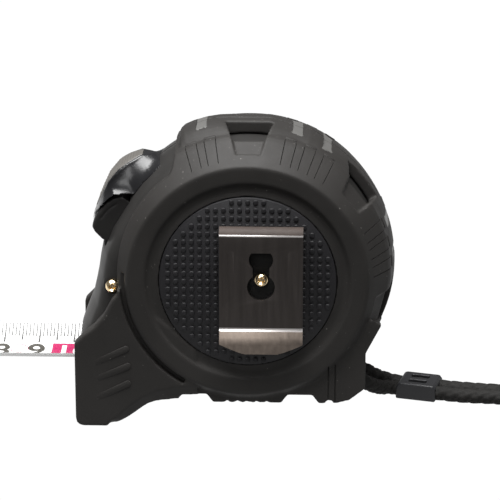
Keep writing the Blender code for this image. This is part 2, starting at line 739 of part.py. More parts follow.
def smooth_route(points, step):
    """Points about step apart on a Catmull-Rom curve through the given ones."""
    ends = [2 * points[0] - points[1]] + list(points) + [2 * points[-1] - points[-2]]
    fine = []
    for i in range(1, len(ends) - 2):
        a, b, c, d = ends[i - 1], ends[i], ends[i + 1], ends[i + 2]
        for k in range(12):
            t = k / 12
            fine.append(0.5 * (
                2 * b + (c - a) * t + (2 * a - 5 * b + 4 * c - d) * t ** 2 + (3 * b - a - 3 * c + d) * t ** 3
            ))
    fine.append(points[-1])
    length = [0.0]
    for a, b in zip(fine, fine[1:]):
        length.append(length[-1] + (b - a).length)
    count = max(2, round(length[-1] / step))
    spaced, k = [], 0
    for i in range(count + 1):
        want = length[-1] * i / count
        while k < len(fine) - 2 and length[k + 1] < want:
            k += 1
        share = (want - length[k]) / max(length[k + 1] - length[k], 1e-9)
        spaced.append(fine[k].lerp(fine[k + 1], share))
    return spaced


def cord(name, points):
    curve = bpy.data.curves.new(name, "CURVE")
    curve.dimensions = "3D"
    curve.bevel_depth = CORD_DIAMETER / 2 * MM
    curve.bevel_resolution = 2
    curve.use_fill_caps = True
    line = curve.splines.new("POLY")
    line.points.add(len(points) - 1)
    for spot, point in zip(line.points, points):
        spot.co = (*point, 1)
    obj = bpy.data.objects.new(name, curve)
    bpy.context.scene.collection.objects.link(obj)
    return obj


def bead_distance(point):
    """How far a point lies past the bead's middle, along the bead."""
    yaw = math.radians(BEAD_YAW)
    flat = point - at(BEAD_CENTRE[0], BEAD_CENTRE[1], 0)
    return flat.x * math.cos(yaw) + flat.y * math.sin(yaw)


def lanyard():
    """The cord in three stretches: each leg up to the bead, and the loop beyond it."""
    route = [at(*point) for point in LANYARD_ROUTE]
    fine = smooth_route(route, 0.5 * MM)
    limit = (BEAD_SIZE[0] / 2 + 6 * GAP) * MM
    before = [i for i, point in enumerate(fine) if bead_distance(point) < -limit]
    beyond = [i for i, point in enumerate(fine) if bead_distance(point) > limit]
    middle = len(fine) // 2
    first = fine[: max(i for i in before if i < middle) + 1]
    last = fine[min(i for i in before if i > middle):]
    loop = fine[min(beyond): max(beyond) + 1]
    stretches = (
        ("lanyard_far_leg", first, LEG_STEP),
        ("lanyard_near_leg", last, LEG_STEP),
        ("lanyard_loop", loop, LOOP_STEP),
    )
    return [cord(name, smooth_route(points, step * MM)) for name, points, step in stretches]


def cord_bead():
    long, wide, tall = BEAD_SIZE
    low = -FOOT_DROP + 0.02
    half = long / 2
    outline = (
        (-half, low), (half, low), (half, low + tall - 0.9), (half - 0.7, low + tall),
        (-half + 1.6, low + tall), (-half, low + tall - 1.4),
    )
    bead = extruded("cord_bead", outline, -wide / 2, wide / 2)
    place = at(BEAD_CENTRE[0], BEAD_CENTRE[1], 0)
    centre = at(0, 0, 0)
    turn = Matrix.Rotation(math.radians(BEAD_YAW), 4, "Z")
    bead.data.transform(Matrix.Translation(place) @ turn @ Matrix.Translation(-centre))
    return bead


# ---------------------------------------------------------------- assembly

def clear_scene():
    for obj in list(bpy.data.objects):
        bpy.data.objects.remove(obj)


def build():
    clear_scene()
    case = pivot("case", at(0, 0, -CENTRE_HEIGHT))
    centre = pivot("case_centre", at(0, 0, 0))
    reel = pivot("reel", at(REEL[0], 0, REEL[1]))
    mouth = pivot("blade_mouth", at(-46.0, 0, blade_floor()))

    for obj in shells():
        finish(obj, "shell_plastic", case)
    for obj in jackets():
        finish(obj, "jacket_rubber", case)
    for obj in discs():
        finish(obj, "disc_rubber", case)

    axle, drum, cover, coil, washers = reel_pieces()
    finish(axle, "spring_steel", case)
    for obj in washers:
        finish(obj, "inner_plastic", case)
    for obj in (drum, cover):
        finish(obj, "inner_plastic", reel)
    finish(coil, "blade_paint", reel)
    finish(power_spring(), "spring_steel", reel)

    finish(blade_strip(), "blade_paint", mouth)
    finish(end_hook(), "hook_steel", mouth)
    for name, x in zip(("rear_hook_rivet", "front_hook_rivet"), RIVET_X):
        finish(hook_rivet(name, x), "hook_steel", mouth)
    finish(blade_guide(), "inner_plastic", case)

    slider, thumb, tongue, shoe = lock_pieces()
    for obj in (slider, tongue):
        finish(obj, "lock_plastic", centre)
    finish(thumb, "thumb_rubber", centre)
    finish(shoe, "brake_rubber", centre)
    button, leaf = button_pieces()
    finish(button, "jacket_rubber", centre)
    finish(leaf, "spring_steel", case)

    finish(screw("nose_screw", NOSE_SCREW, -16.2, 1.7, 11.0, -1), "screw_steel", case)
    finish(screw("foot_screw", FOOT_SCREW, 14.6, 1.7, -11.0, 1), "screw_steel", case)
    finish(screw("heel_screw", HEEL_SCREW, 12.0, 1.7, -9.9, 1), "screw_steel", case)
    finish(screw("clip_screw", CLIP_SCREW, -22.6, 1.3, -8.6, -1), "screw_steel", case)
    finish(belt_clip(), "clip_steel", case)

    post = upright_rod("strap_post", (POST_X, 0), POST_RADIUS, -36.0, -28.6, 20)
    finish(post, "spring_steel", case)
    finish(cord_bead(), "bead_plastic", case)
    for leg in lanyard():
        leg.data.materials.append(material("cord_weave"))
        leg.parent = case


build()
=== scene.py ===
"""Looks for the pocket tape measure: moulded rubber jacket, glossy nose, printed blade, clip and lanyard.

Pieces are shaped in millimetres from the centre of the round case, as (x, z) outlines with y across,
the way the CAD source does it, and placed() turns them into metres in the frame.
"""

import json
import math

import bmesh
import bpy
from mathutils import Matrix, Vector

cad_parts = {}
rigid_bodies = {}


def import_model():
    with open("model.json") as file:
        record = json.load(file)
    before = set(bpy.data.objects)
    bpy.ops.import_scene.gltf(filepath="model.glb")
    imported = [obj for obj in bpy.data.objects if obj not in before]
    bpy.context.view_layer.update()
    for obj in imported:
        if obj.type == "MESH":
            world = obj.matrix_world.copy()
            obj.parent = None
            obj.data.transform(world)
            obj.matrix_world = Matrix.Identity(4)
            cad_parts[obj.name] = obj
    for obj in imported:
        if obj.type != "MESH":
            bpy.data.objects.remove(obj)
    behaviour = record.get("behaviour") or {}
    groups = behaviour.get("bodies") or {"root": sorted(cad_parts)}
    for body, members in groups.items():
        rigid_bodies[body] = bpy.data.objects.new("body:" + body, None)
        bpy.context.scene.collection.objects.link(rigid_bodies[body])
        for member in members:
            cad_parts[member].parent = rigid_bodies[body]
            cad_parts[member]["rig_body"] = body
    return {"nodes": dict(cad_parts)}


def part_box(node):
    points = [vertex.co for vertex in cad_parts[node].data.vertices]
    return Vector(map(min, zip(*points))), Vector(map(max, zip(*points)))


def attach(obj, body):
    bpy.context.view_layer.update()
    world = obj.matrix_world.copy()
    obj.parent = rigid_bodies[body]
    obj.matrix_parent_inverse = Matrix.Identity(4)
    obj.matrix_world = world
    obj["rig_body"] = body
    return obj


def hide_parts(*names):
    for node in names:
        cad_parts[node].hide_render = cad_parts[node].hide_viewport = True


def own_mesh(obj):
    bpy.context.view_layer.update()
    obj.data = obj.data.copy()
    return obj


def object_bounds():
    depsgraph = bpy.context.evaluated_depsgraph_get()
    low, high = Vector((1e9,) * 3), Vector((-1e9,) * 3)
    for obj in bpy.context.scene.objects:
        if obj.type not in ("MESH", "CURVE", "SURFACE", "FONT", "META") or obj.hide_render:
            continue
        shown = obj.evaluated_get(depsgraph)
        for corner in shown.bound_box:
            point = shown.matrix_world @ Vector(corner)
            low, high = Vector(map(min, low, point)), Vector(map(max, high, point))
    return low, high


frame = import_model()
CAD_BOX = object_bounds()

MM = 0.001


def box_mm(node):
    """A node's lowest and highest corners, in millimetres from the case's centre."""
    low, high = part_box(node)
    return (low - CENTRE) / MM, (high - CENTRE) / MM


disc_low, disc_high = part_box("near_disc")
CENTRE = Vector(((disc_low.x + disc_high.x) / 2, 0, (disc_low.z + disc_high.z) / 2))
DISC_RADIUS = (disc_high.x - disc_low.x) / 2 / MM
DISC_FACE = disc_low.y / MM
SIDE_BACK = -disc_high.y / MM
SOLE = box_mm("near_jacket")[0].z
BASE = -CENTRE.z / MM
HALF_WIDTH = box_mm("far_jacket")[1].y
SEAM = (box_mm("near_jacket")[1].y + box_mm("far_jacket")[0].y) / 2
CLIP_LOW, CLIP_HIGH = box_mm("belt_clip")
CLIP_X = (CLIP_LOW.x + CLIP_HIGH.x) / 2
CLIP_SCREW_Z = (box_mm("clip_screw")[0].z + box_mm("clip_screw")[1].z) / 2
BLADE_LOW, BLADE_HIGH = box_mm("blade_strip")
SCALE_START = box_mm("end_hook")[0].x + 1.0  # the hook's inner face, where the blade's scale starts

CROWN_RADIUS = 40.6
BAND_HALF_WIDTH = 9.2
HAIRLINE = 0.22
RIB_HALF_ANGLE = 2.35
SHELL_RADIUS = 37.3
TRACK_RADIUS = 39.1
LIP_RADIUS = 36.3
NOSE_HALF_WIDTH = 15.5
FOOT_HALF_WIDTH = 19.4
WINDOW_ANGLES = (90.0, 38.3, -13.7)
PAD_ANGLES = (113.7, 105.7, 73.0, 64.7, 56.3, 21.0, 13.0, 4.5)
GROOVE_FLOORS = {108.5: 41.9, 71.0: 40.7, 58.0: 40.3, 19.0: 40.3, 6.0: 40.3}  # angle to radius
GROOVE_HALF_ANGLE = 2.1
NOSE_SCREW = (-37.6, -3.3)
FOOT_SCREW = (-38.6, -35.6)
HEEL_SCREW = (27.4, -25.3)


# ---------------------------------------------------------------- camera and lanyard

def add_camera():
    distance, azimuth, elevation = 0.80, math.radians(1.9), math.radians(19.5)
    away = Vector((
        math.sin(azimuth) * math.cos(elevation), -math.cos(azimuth) * math.cos(elevation), math.sin(elevation)
    ))
    up = Vector((0, 0, 1)) - away * away.z
    aim = CENTRE + up.normalized() * 2.3 * MM
    camera = linked("camera", bpy.data.cameras.new("camera"))
    camera.data.lens = 205
    camera.data.sensor_width = 36
    camera.data.clip_start = 0.01
    camera.location = aim + away * distance
    camera.rotation_euler = away.to_track_quat("Z", "Y").to_euler()
    bpy.context.scene.camera = camera


CORD_DIAMETER = 4.3
CORD_REST = SOLE + CORD_DIAMETER / 2 + 0.02
# From the back of the strap post round the loop and back to it, as in the CAD source
LEAVING = [
    (22.8, 0.9, -34.0), (23.4, 2.4, -34.0), (25.2, 3.9, -34.0), (28.6, 4.5, -34.0),
    (32.0, 5.4, -35.1), (35.8, 7.9, -38.1), (39.3, 10.7, -40.5),
]
ON_FLOOR = [
    (43.3, 10.7), (49.0, 9.2), (54.8, 7.7), (62.0, 6.2), (72.0, 5.0), (90.0, 5.4), (110.0, 9.5),
    (132.0, 14.0), (152.0, 14.5), (165.0, 7.0), (168.0, -6.0), (158.0, -16.0), (138.0, -17.5),
    (115.0, -11.0), (92.0, -3.0), (72.0, 0.3), (61.0, 1.4), (53.6, 3.2), (47.8, 4.8), (43.2, 6.0),
]
COMING_BACK = [
    (40.2, 5.2, -40.6), (37.6, 2.2, -39.5), (35.1, -1.2, -37.6), (32.0, -4.1, -35.1),
    (28.6, -4.5, -34.0), (25.2, -3.9, -34.0), (23.4, -2.4, -34.0), (22.8, -0.9, -34.0),
]
LANYARD_ROUTE = LEAVING + [(x, y, CORD_REST) for x, y in ON_FLOOR] + COMING_BACK


def at(x, y, z):
    return CENTRE + Vector((x, y, z)) * MM


def smooth_route(points, step):
    """Points about step apart on a Catmull-Rom curve through the given ones."""
    points = [Vector(point) for point in points]
    ends = [2 * points[0] - points[1]] + points + [2 * points[-1] - points[-2]]
    fine = []
    for i in range(1, len(ends) - 2):
        a, b, c, d = ends[i - 1 : i + 3]
        for k in range(12):
            t = k / 12
            fine.append(0.5 * (
                2 * b + (c - a) * t + (2 * a - 5 * b + 4 * c - d) * t ** 2 + (3 * b - a - 3 * c + d) * t ** 3
            ))
    fine.append(points[-1])
    length = [0.0]
    for a, b in zip(fine, fine[1:]):
        length.append(length[-1] + (b - a).length)
    count = max(2, round(length[-1] / step))
    spaced, k = [], 0
    for i in range(count + 1):
        want = length[-1] * i / count
        while k < len(fine) - 2 and length[k + 1] < want:
            k += 1
        share = (want - length[k]) / max(length[k + 1] - length[k], 1e-9)
        spaced.append(fine[k].lerp(fine[k + 1], share))
    return spaced, length[-1]


# ---------------------------------------------------------------- shapes

def linked(name, data):
    obj = bpy.data.objects.new(name, data)
    bpy.context.scene.collection.objects.link(obj)
    return obj


def mesh_of(shape, name):
    mesh = bpy.data.meshes.new(name)
    shape.to_mesh(mesh)
    shape.free()
    return mesh


def object_of(shape, name="piece"):
    bmesh.ops.recalc_face_normals(shape, faces=shape.faces)
    return linked(name, mesh_of(shape, name))


def copy_of(obj):
    return linked("piece", obj.data.copy())


def tube(sections, shape=None):
    """The faces between rings of points that all have the same count, as a bmesh and its rings."""
    if shape is None:
        shape = bmesh.new()
    rings = [[shape.verts.new(point) for point in section] for section in sections]
    for low, high in zip(rings, rings[1:]):
        for i in range(len(low)):
            j = (i + 1) % len(low)
            shape.faces.new((low[i], low[j], high[j], high[i]))
    return shape, rings


def loft(sections, name="piece"):
    """A closed skin over rings of points that all have the same count."""
    shape, rings = tube(sections)
    shape.faces.new(rings[0][::-1])
    shape.faces.new(rings[-1])
    return object_of(shape, name)


def bevel_rims(shape, rules):
    """Bevels the edges round both flat ends. rules are (width, segments, test of (x, z))."""
    for width, segments, wanted in rules:
        rims = []
        for edge in shape.edges:
            if len(edge.link_faces) != 2:
                continue
            flat = [abs(face.normal.y) > 0.99 for face in edge.link_faces]
            middle = (edge.verts[0].co + edge.verts[1].co) / 2
            if flat[0] != flat[1] and wanted(middle.x, middle.z):
                rims.append(edge)
        bmesh.ops.bevel(
            shape, geom=rims, offset=width, segments=segments, profile=0.5, affect="EDGES", clamp_overlap=True
        )
        shape.normal_update()
    return shape


def extruded(outline, low, high, rules=()):
    """An (x, z) outline from y = low to y = high, with bevelled rims. high may be a function of (x, z)."""
    top = high if callable(high) else (lambda x, z: high)
    shape, (near, far) = tube((
        [(x, low, z) for x, z in outline], [(x, top(x, z), z) for x, z in outline]
    ))
    shape.faces.new(near)
    shape.faces.new(far[::-1])
    bmesh.ops.recalc_face_normals(shape, faces=shape.faces)
    return object_of(bevel_rims(shape, rules))


def block(low, high):
    outline = ((low[0], low[2]), (high[0], low[2]), (high[0], high[2]), (low[0], high[2]))
    return extruded(outline, low[1], high[1])


def turned(profile, centre=(0.0, 0.0), steps=144, ring=False):
    """A (radius, y) profile turned about an axis along Y. A ring's profile is a closed loop."""
    shape = bmesh.new()
    verts = [shape.verts.new((centre[0] + radius, y, centre[1])) for radius, y in profile]
    edges = [shape.edges.new(pair) for pair in zip(verts, verts[1:])]
    if ring:
        edges.append(shape.edges.new((verts[-1], verts[0])))
    bmesh.ops.spin(
        shape, geom=verts + edges, cent=(centre[0], 0, centre[1]), axis=(0, 1, 0),
        angle=2 * math.pi, steps=steps, use_merge=True,
    )
    bmesh.ops.remove_doubles(shape, verts=shape.verts, dist=1e-4)
    return object_of(shape)


def drum(half, slope):
    """A solid turned about the case's axis. slope is its near shoulder, which the far side mirrors."""
    return turned([(0, -half)] + slope + [(radius, -y) for radius, y in reversed(slope)] + [(0, half)])


def rod(centre, radius, low, high, steps=32):
    return turned(((0, low), (radius, low), (radius, high), (0, high)), centre, steps)


def upright_rod(centre, radius, low, high, steps=32):
    shape = bmesh.new()
    middle = Matrix.Translation((centre[0], centre[1], (low + high) / 2))
    bmesh.ops.create_cone(
        shape, cap_ends=True, segments=steps, radius1=radius, radius2=radius, depth=high - low, matrix=middle
    )
    return object_of(shape)


def applied(obj, kind, **settings):
    """Adds one modifier and replaces the mesh by its result."""
    modifier = obj.modifiers.new(kind, kind)
    for key, value in settings.items():
        setattr(modifier, key, value)
    graph = bpy.context.evaluated_depsgraph_get()
    mesh = bpy.data.meshes.new_from_object(obj.evaluated_get(graph))
    obj.modifiers.clear()
    obj.data = mesh
    return obj


def combine(target, operation, *tools):
    for tool in tools:
        applied(target, "BOOLEAN", operation=operation, solver="MANIFOLD", object=tool)
        bpy.data.objects.remove(tool)
    return target


def join(target, *tools):
    return combine(target, "UNION", *tools)


def cut(target, *tools):
    return combine(target, "DIFFERENCE", *tools)


def moulded(obj, voxel, passes, share=1.0):
    """Rounds every edge a little, as a mould does: a fine remesh, smoothed and thinned out again."""
    applied(obj, "REMESH", mode="VOXEL", voxel_size=voxel, use_smooth_shade=True)
    applied(obj, "SMOOTH", factor=0.5, iterations=passes)
    if share < 1:
        applied(obj, "DECIMATE", ratio=share)
    obj.data.shade_smooth()
    return obj


def shaded(obj, sharp):
    """Smooth shading, apart from edges sharper than that many degrees."""
    obj.data.shade_smooth()
    obj.data.set_sharp_from_angle(angle=math.radians(sharp))
    return obj


def crisp(obj, width, limit=35, sharp=40):
    """Breaks the sharp edges a little and keeps the flat faces flat."""
    applied(obj, "BEVEL", width=width, segments=2, limit_method="ANGLE", angle_limit=math.radians(limit))
    return shaded(obj, sharp)


def polar(radius, degrees):
    angle = math.radians(degrees)
    return radius * math.cos(angle), radius * math.sin(angle)


def arc(radius, start, end, count):
    return [polar(radius, start + (end - start) * i / (count - 1)) for i in range(count)]


def split_at_seam(whole):
    """The near half and the far half, with a hairline between them."""
    far = copy_of(whole)
    reach = 120.0
    hairline = 0.08
    cut(whole, block((-reach, SEAM - hairline, -reach), (reach, reach, reach)))
    cut(far, block((-reach, -reach, -reach), (reach, SEAM + hairline, reach)))
    return whole, far


def placed(obj, name, body, replaces=()):
    """Names a piece, moves it from millimetres about the case into the frame, and lets it ride on a body."""
    obj.name = name
    obj.data.name = name
    obj.data.transform(Matrix.Translation(CENTRE) @ Matrix.Scale(MM, 4))
    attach(obj, body)
    if replaces:
        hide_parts(*replaces)
    return obj


def painted(obj, *keys):
    obj.data.materials.clear()
    for key in keys:
        obj.data.materials.append(MATERIALS[key])
    return obj


# ---------------------------------------------------------------- materials

def new_material(name):
    material = bpy.data.materials.new(name)
    material.use_nodes = True
    tree = material.node_tree
    return material, tree, tree.nodes["Principled BSDF"]


def texture(tree, kind, scale, stretch=(1, 1, 1), **settings):
    """A procedural texture in the piece's own metres. scale is in features per metre."""
    where = tree.nodes.new("ShaderNodeTexCoord")
    place = tree.nodes.new("ShaderNodeMapping")
    place.inputs["Scale"].default_value = stretch
    made = tree.nodes.new(kind)
    made.inputs["Scale"].default_value = scale
    for key, value in settings.items():
        made.inputs[key].default_value = value
    tree.links.new(where.outputs["Object"], place.inputs["Vector"])
    tree.links.new(place.outputs["Vector"], made.inputs["Vector"])
    return made


def ramp(tree, source, stops):
    """A colour ramp fed by source. stops are (place, colour)."""
    made = tree.nodes.new("ShaderNodeValToRGB")
    elements = made.color_ramp.elements
    while len(elements) < len(stops):
        elements.new(0.5)
    for element, (place, colour) in zip(elements, stops):
        element.position = place
        element.color = (*colour, 1)
    tree.links.new(source, made.inputs["Fac"])
    return made.outputs["Color"]


def roughness_from(tree, shader, source, low, high):
    spread = tree.nodes.new("ShaderNodeMapRange")
    spread.inputs["To Min"].default_value = low
    spread.inputs["To Max"].default_value = high
    tree.links.new(source, spread.inputs["Value"])
    tree.links.new(spread.outputs["Result"], shader.inputs["Roughness"])


def bump(tree, shader, source, strength, depth):
    made = tree.nodes.new("ShaderNodeBump")
    made.inputs["Strength"].default_value = strength
    made.inputs["Distance"].default_value = depth
    tree.links.new(source, made.inputs["Height"])
    tree.links.new(made.outputs["Normal"], shader.inputs["Normal"])


def tinted(colour, factor):
    return tuple(channel * factor for channel in colour)


def moulded_material(name, colour, rough, grain, depth, specular=0.5, spread=0.12, strength=0.6):
    """A moulded plastic or rubber: a fine grain, slight tone changes and uneven gloss."""
    material, tree, shader = new_material(name)
    tone = texture(tree, "ShaderNodeTexNoise", 90, Detail=4.0, Roughness=0.6)
    stops = ((0.3, tinted(colour, 1 - spread)), (0.7, tinted(colour, 1 + spread)))
    tree.links.new(ramp(tree, tone.outputs["Fac"], stops), shader.inputs["Base Color"])
    smear = texture(tree, "ShaderNodeTexNoise", 260, Detail=3.0)
    roughness_from(tree, shader, smear.outputs["Fac"], rough * 0.88, rough * 1.12)
    fine = texture(tree, "ShaderNodeTexNoise", grain, Detail=3.0, Roughness=0.65)
    bump(tree, shader, fine.outputs["Fac"], strength, depth)
    shader.inputs["Specular IOR Level"].default_value = specular
    return material


def brushed_material(name, colour, rough, stretch, metallic=1.0, spread=0.18):
    """Drawn or brushed metal: fine streaks that run the way stretch leaves alone."""
    material, tree, shader = new_material(name)
    streaks = texture(tree, "ShaderNodeTexNoise", 900, stretch, Detail=5.0, Roughness=0.7)
    stops = ((0.3, tinted(colour, 1 - spread)), (0.7, tinted(colour, 1 + spread)))
    tree.links.new(ramp(tree, streaks.outputs["Fac"], stops), shader.inputs["Base Color"])
    roughness_from(tree, shader, streaks.outputs["Fac"], rough * 0.75, rough * 1.25)
    bump(tree, shader, streaks.outputs["Fac"], 0.15, 0.00002)
    shader.inputs["Metallic"].default_value = metallic
    return material


def rubber_material():
    """The jacket's rubber: stippled and a little dusty."""
    colour = (0.0115, 0.0107, 0.0100)
    material = moulded_material("jacket_rubber", colour, 0.60, 3200, 0.00006, specular=0.13, spread=0.10)
    tree = material.node_tree
    shader = tree.nodes["Principled BSDF"]
    dust = texture(tree, "ShaderNodeTexNoise", 1500, Detail=1.0)
    specks = ramp(tree, dust.outputs["Fac"], ((0.77, (0, 0, 0)), (0.80, (1, 1, 1))))
    mix = tree.nodes.new("ShaderNodeMix")
    mix.data_type = "RGBA"
    base = shader.inputs["Base Color"].links[0].from_socket
    tree.links.new(specks, mix.inputs["Factor"])
    tree.links.new(base, mix.inputs["A"])
    mix.inputs["B"].default_value = (0.10, 0.095, 0.09, 1)
    tree.links.new(mix.outputs["Result"], shader.inputs["Base Color"])
    return material


MATERIALS = {
    "jacket": rubber_material(),
    "groove": moulded_material("jacket_smooth", (0.045, 0.044, 0.042), 0.42, 1400, 0.00003),
    "shell": moulded_material(
        "shell_gloss", (0.012, 0.0115, 0.011), 0.42, 700, 0.00003, specular=0.10, strength=0.25
    ),
    "slider": moulded_material(
        "slider_gloss", (0.005, 0.005, 0.0055), 0.24, 900, 0.00006, specular=0.30, strength=0.35
    ),
    "thumb": moulded_material("thumb_matte", (0.040, 0.037, 0.033), 0.50, 2600, 0.00005),
    "button": moulded_material("button_rubber", (0.008, 0.0076, 0.0074), 0.50, 2600, 0.00004, specular=0.15),
    "disc": moulded_material("disc_rubber", (0.0085, 0.0082, 0.0090), 0.50, 2600, 0.00003, specular=0.16),
    "clip": brushed_material("clip_steel", (0.115, 0.102, 0.096), 0.34, (1, 1, 0.05), spread=0.06),
    # Painted highlight: a near-white copy of the clip's steel for the fold's strip that faces the top light
    # and the lip's edge that faces the front.
    "clip_highlight": brushed_material("clip_painted_highlight", (0.90, 0.86, 0.84), 0.30, (0.05, 1, 1), spread=0.05),
    # Painted light: a paler copy of the clip's steel for the lip, standing in for the overhead light the lip
    # catches.
    "clip_lip_painted_light": brushed_material("clip_lip_painted_light", (0.20, 0.165, 0.14), 0.42, (1, 1, 0.2), spread=0.15),
    # Painted light and shade: a matte brownish copy of the clip's steel for the fold's up-facing top, toned
    # for how the top light falls on it.
    "clip_fold_painted_tone": moulded_material(
        "clip_fold_painted_tone", (0.030, 0.023, 0.020), 0.60, 900, 0.00002, specular=0.12, spread=0.25
    ),
    # Painted shade: a near-black copy of the clip's steel for the back plate, which lies in shadow behind the
    # front plate.
    "clip_back_painted_shade": moulded_material("clip_back_painted_shade", (0.006, 0.0058, 0.0055), 0.6, 900, 0.00002, specular=0.2),
    "screw": brushed_material("screw_brass", (0.86, 0.68, 0.42), 0.22, (1, 1, 1)),
    "steel": brushed_material("spring_steel", (0.40, 0.41, 0.43), 0.30, (1, 1, 0.1)),
    "hook": brushed_material("hook_steel", (0.62, 0.62, 0.63), 0.26, (1, 0.06, 1)),
    "blade": moulded_material(
        "blade_enamel", (0.36, 0.36, 0.355), 0.35, 500, 0.00001, spread=0.01, strength=0.2
    ),
    "ink": moulded_material("blade_ink", (0.022, 0.020, 0.016), 0.45, 900, 0.00001),
    "tick": moulded_material("blade_tick_ink", (0.010, 0.0095, 0.009), 0.45, 900, 0.00001),
    "pink": moulded_material("blade_pink", (0.19, 0.001, 0.040), 0.40, 900, 0.00001, spread=0.02),
    "inner": moulded_material("inner_nylon", (0.50, 0.50, 0.47), 0.45, 900, 0.00003, spread=0.03),
    "brake": moulded_material("brake_rubber", (0.045, 0.045, 0.045), 0.75, 1800, 0.00006),
    "lock": moulded_material("lock_nylon", (0.016, 0.016, 0.018), 0.30, 900, 0.00003),
    "cord": moulded_material(
        "cord_yarn", (0.0065, 0.0062, 0.0058), 0.70, 6000, 0.00008, specular=0.10, strength=0.9
    ),
    "bead": moulded_material(
        "bead_plastic", (0.011, 0.011, 0.012), 0.36, 1200, 0.00003, specular=0.20, strength=0.3
    ),
}


def paint_cad_nodes():
    """Materials for the CAD nodes that stay in view or can be seen through the openings."""
    kept = {
        "steel": ("reel_axle", "power_spring", "button_spring", "strap_post"),
        "inner": ("reel_drum", "spring_cover", "near_washer", "far_washer", "blade_guide"),
        "blade": ("coiled_blade",),
        "lock": ("lock_tongue",),
        "brake": ("brake_shoe",),
    }
    for key, names in kept.items():
        for name in names:
            painted(frame["nodes"][name], key)


# ---------------------------------------------------------------- jacket

def turned_to(angle, obj):
    """Swings a piece that was made at the crown's top round to that angle."""
    obj.data.transform(Matrix.Rotation(math.radians(90 - angle), 4, "Y"))
    return obj


def hairline(angle, side):
    """A thin cutter down the jacket's shoulder, from the crown's edge to the ring."""
    line = ((34.9, 18.3), (39.2, 12.3), (40.35, 9.2), (42.0, 9.2), (42.0, 20.0), (35.6, 20.0))
    deep = ((34.35, 17.9), (38.6, 11.9), (39.7, 9.2), (42.0, 9.2), (42.0, 20.0), (35.6, 20.0))
    sections = []
    for along, points in ((-HAIRLINE, line), (0.0, deep), (HAIRLINE, line)):
        sections.append([(along, side * y, radius) for radius, y in points])
    return turned_to(angle, loft(sections))


def pad_top(angle, side):
    """The small raised lip where a rib meets the crown."""
    half = 1.6
    outline = ((39.2, 9.9), (39.75, 9.6), (39.95, 9.1), (39.9, 8.6), (38.6, 8.6), (38.6, 9.6))
    return turned_to(angle, loft([[(x, side * y, radius) for radius, y in outline] for x in (-half, half)]))


def opening(angle, side, levels):
    """A tapering cutter into the crown. Each level is a radius and its two (half-width, y) ends."""
    sections = []
    for radius, (near_half, near_y), (far_half, far_y) in levels:
        corners = ((-near_half, near_y), (near_half, near_y), (far_half, far_y), (-far_half, far_y))
        sections.append([(along, y * side, radius) for along, y in corners])
    return turned_to(angle, loft(sections))


def windows(angle):
    """The near window, the sunken ledge below it, and the far window."""
    near = opening(angle, -1, (
        (35.0, (5.9, 3.0), (4.2, 11.0)), (CROWN_RADIUS, (6.7, 2.5), (4.75, 11.5)),
        (46.0, (7.6, 1.8), (5.6, 12.2)),
    ))
    floor = ((-4.75, 11.0, 39.4), (4.75, 11.0, 39.4), (3.45, 16.7, 36.1), (-3.45, 16.7, 36.1))
    sections = []
    for rise, flare in ((-0.85, 0.0), (6.0, 0.6)):
        sections.append([
            (along + math.copysign(flare, along), -y - rise * 0.45, radius + rise * 0.9)
            for along, y, radius in floor
        ])
    ledge = turned_to(angle, loft(sections))
    far = opening(angle, 1, (
        (35.0, (4.0, 10.8), (2.6, 15.6)), (CROWN_RADIUS, (4.8, 10.5), (3.4, 16.2)),
        (46.0, (5.8, 9.9), (4.6, 16.8)),
    ))
    return near, ledge, far


def side_span(side, inner, outer):
    """The stretch of y between two distances from the middle, on that side."""
    return sorted((side * inner, side * outer))


def base_slot(angle, side):
    """A narrow cutter across the ring's edge, down at the base."""
    half = 0.28
    low, high = side_span(side, 14, 21)
    return turned_to(angle, block((-half, low, 35.2), (half, high, 43.0)))


def arc_band(inner, outer, start, end, low, high, count=24):
    return extruded(arc(inner, start, end, count) + arc(outer, end, start, count), low, high)


def foot_outline():
    upper = [
        (-34.9, -2.5), (-36.4, -3.3), (-37.7, -6.3), (-39.8, -10.4), (-42.6, -13.8), (-45.0, -15.7),
        (-46.7, -16.8), (-47.6, -17.7), (-48.2, -19.2),
    ]
    toe = [(-48.2, -41.4), (-47.9, -42.6), (-47.1, -43.3), (-46.1, SOLE), (-39.4, SOLE), (-38.5, SOLE + 0.7)]
    arch = [(-36.6, -42.9), (-33.7, -41.5), (-31.5, -39.9), (-29.6, -38.4), (-27.8, -37.2), (-25.9, -36.5)]
    return upper + toe + arch + [(-20.3, -35.8), (-14.0, -35.8), (-14.0, -20.0)]


def arch_slope(side):
    """Cuts the slanting face along the foot's arch, from the foot's side down to its underside."""
    line = (
        (-39.3, -42.7, -43.7), (-38.5, -41.7, -43.6), (-33.6, -37.6, -41.6), (-29.0, -34.3, -38.1),
        (-25.0, -32.4, -36.5), (-20.3, -31.3, -35.8), (-13.0, -30.8, -35.6),
    )
    sections = []
    for x, upper, lower in line:
        drop = (lower - upper) * 0.4
        outer = (x, side * (FOOT_HALF_WIDTH + 0.84), upper - drop)
        inner = (x, side * (FOOT_HALF_WIDTH - 2.1 - 0.84), lower + drop)
        sections.append([outer, inner, (x, side * 26.0, lower + drop - 4.0)])
    return loft(sections)


def crown_sink(y):
    """How far the rounded crown has dropped at y."""
    return y * y / 86.0


def crown_radius(y):
    return CROWN_RADIUS - crown_sink(y)


def crown_band(line):
    """A slightly raised stretch of the crown. line is (angle, rise) from its one end to the other."""
    sections = []
    for angle, rise in line:
        section = []
        for step in range(-6, 7):
            y = BAND_HALF_WIDTH * step / 6
            fade = 1 - (step / 6) ** 4
            x, z = polar(crown_radius(y) + max(rise * fade, 0.02), angle)
            section.append((x, y, z))
        for y in (BAND_HALF_WIDTH, -BAND_HALF_WIDTH):
            x, z = polar(CROWN_RADIUS - 2.0, angle)
            section.append((x, y, z))
        sections.append(section)
    return loft(sections)


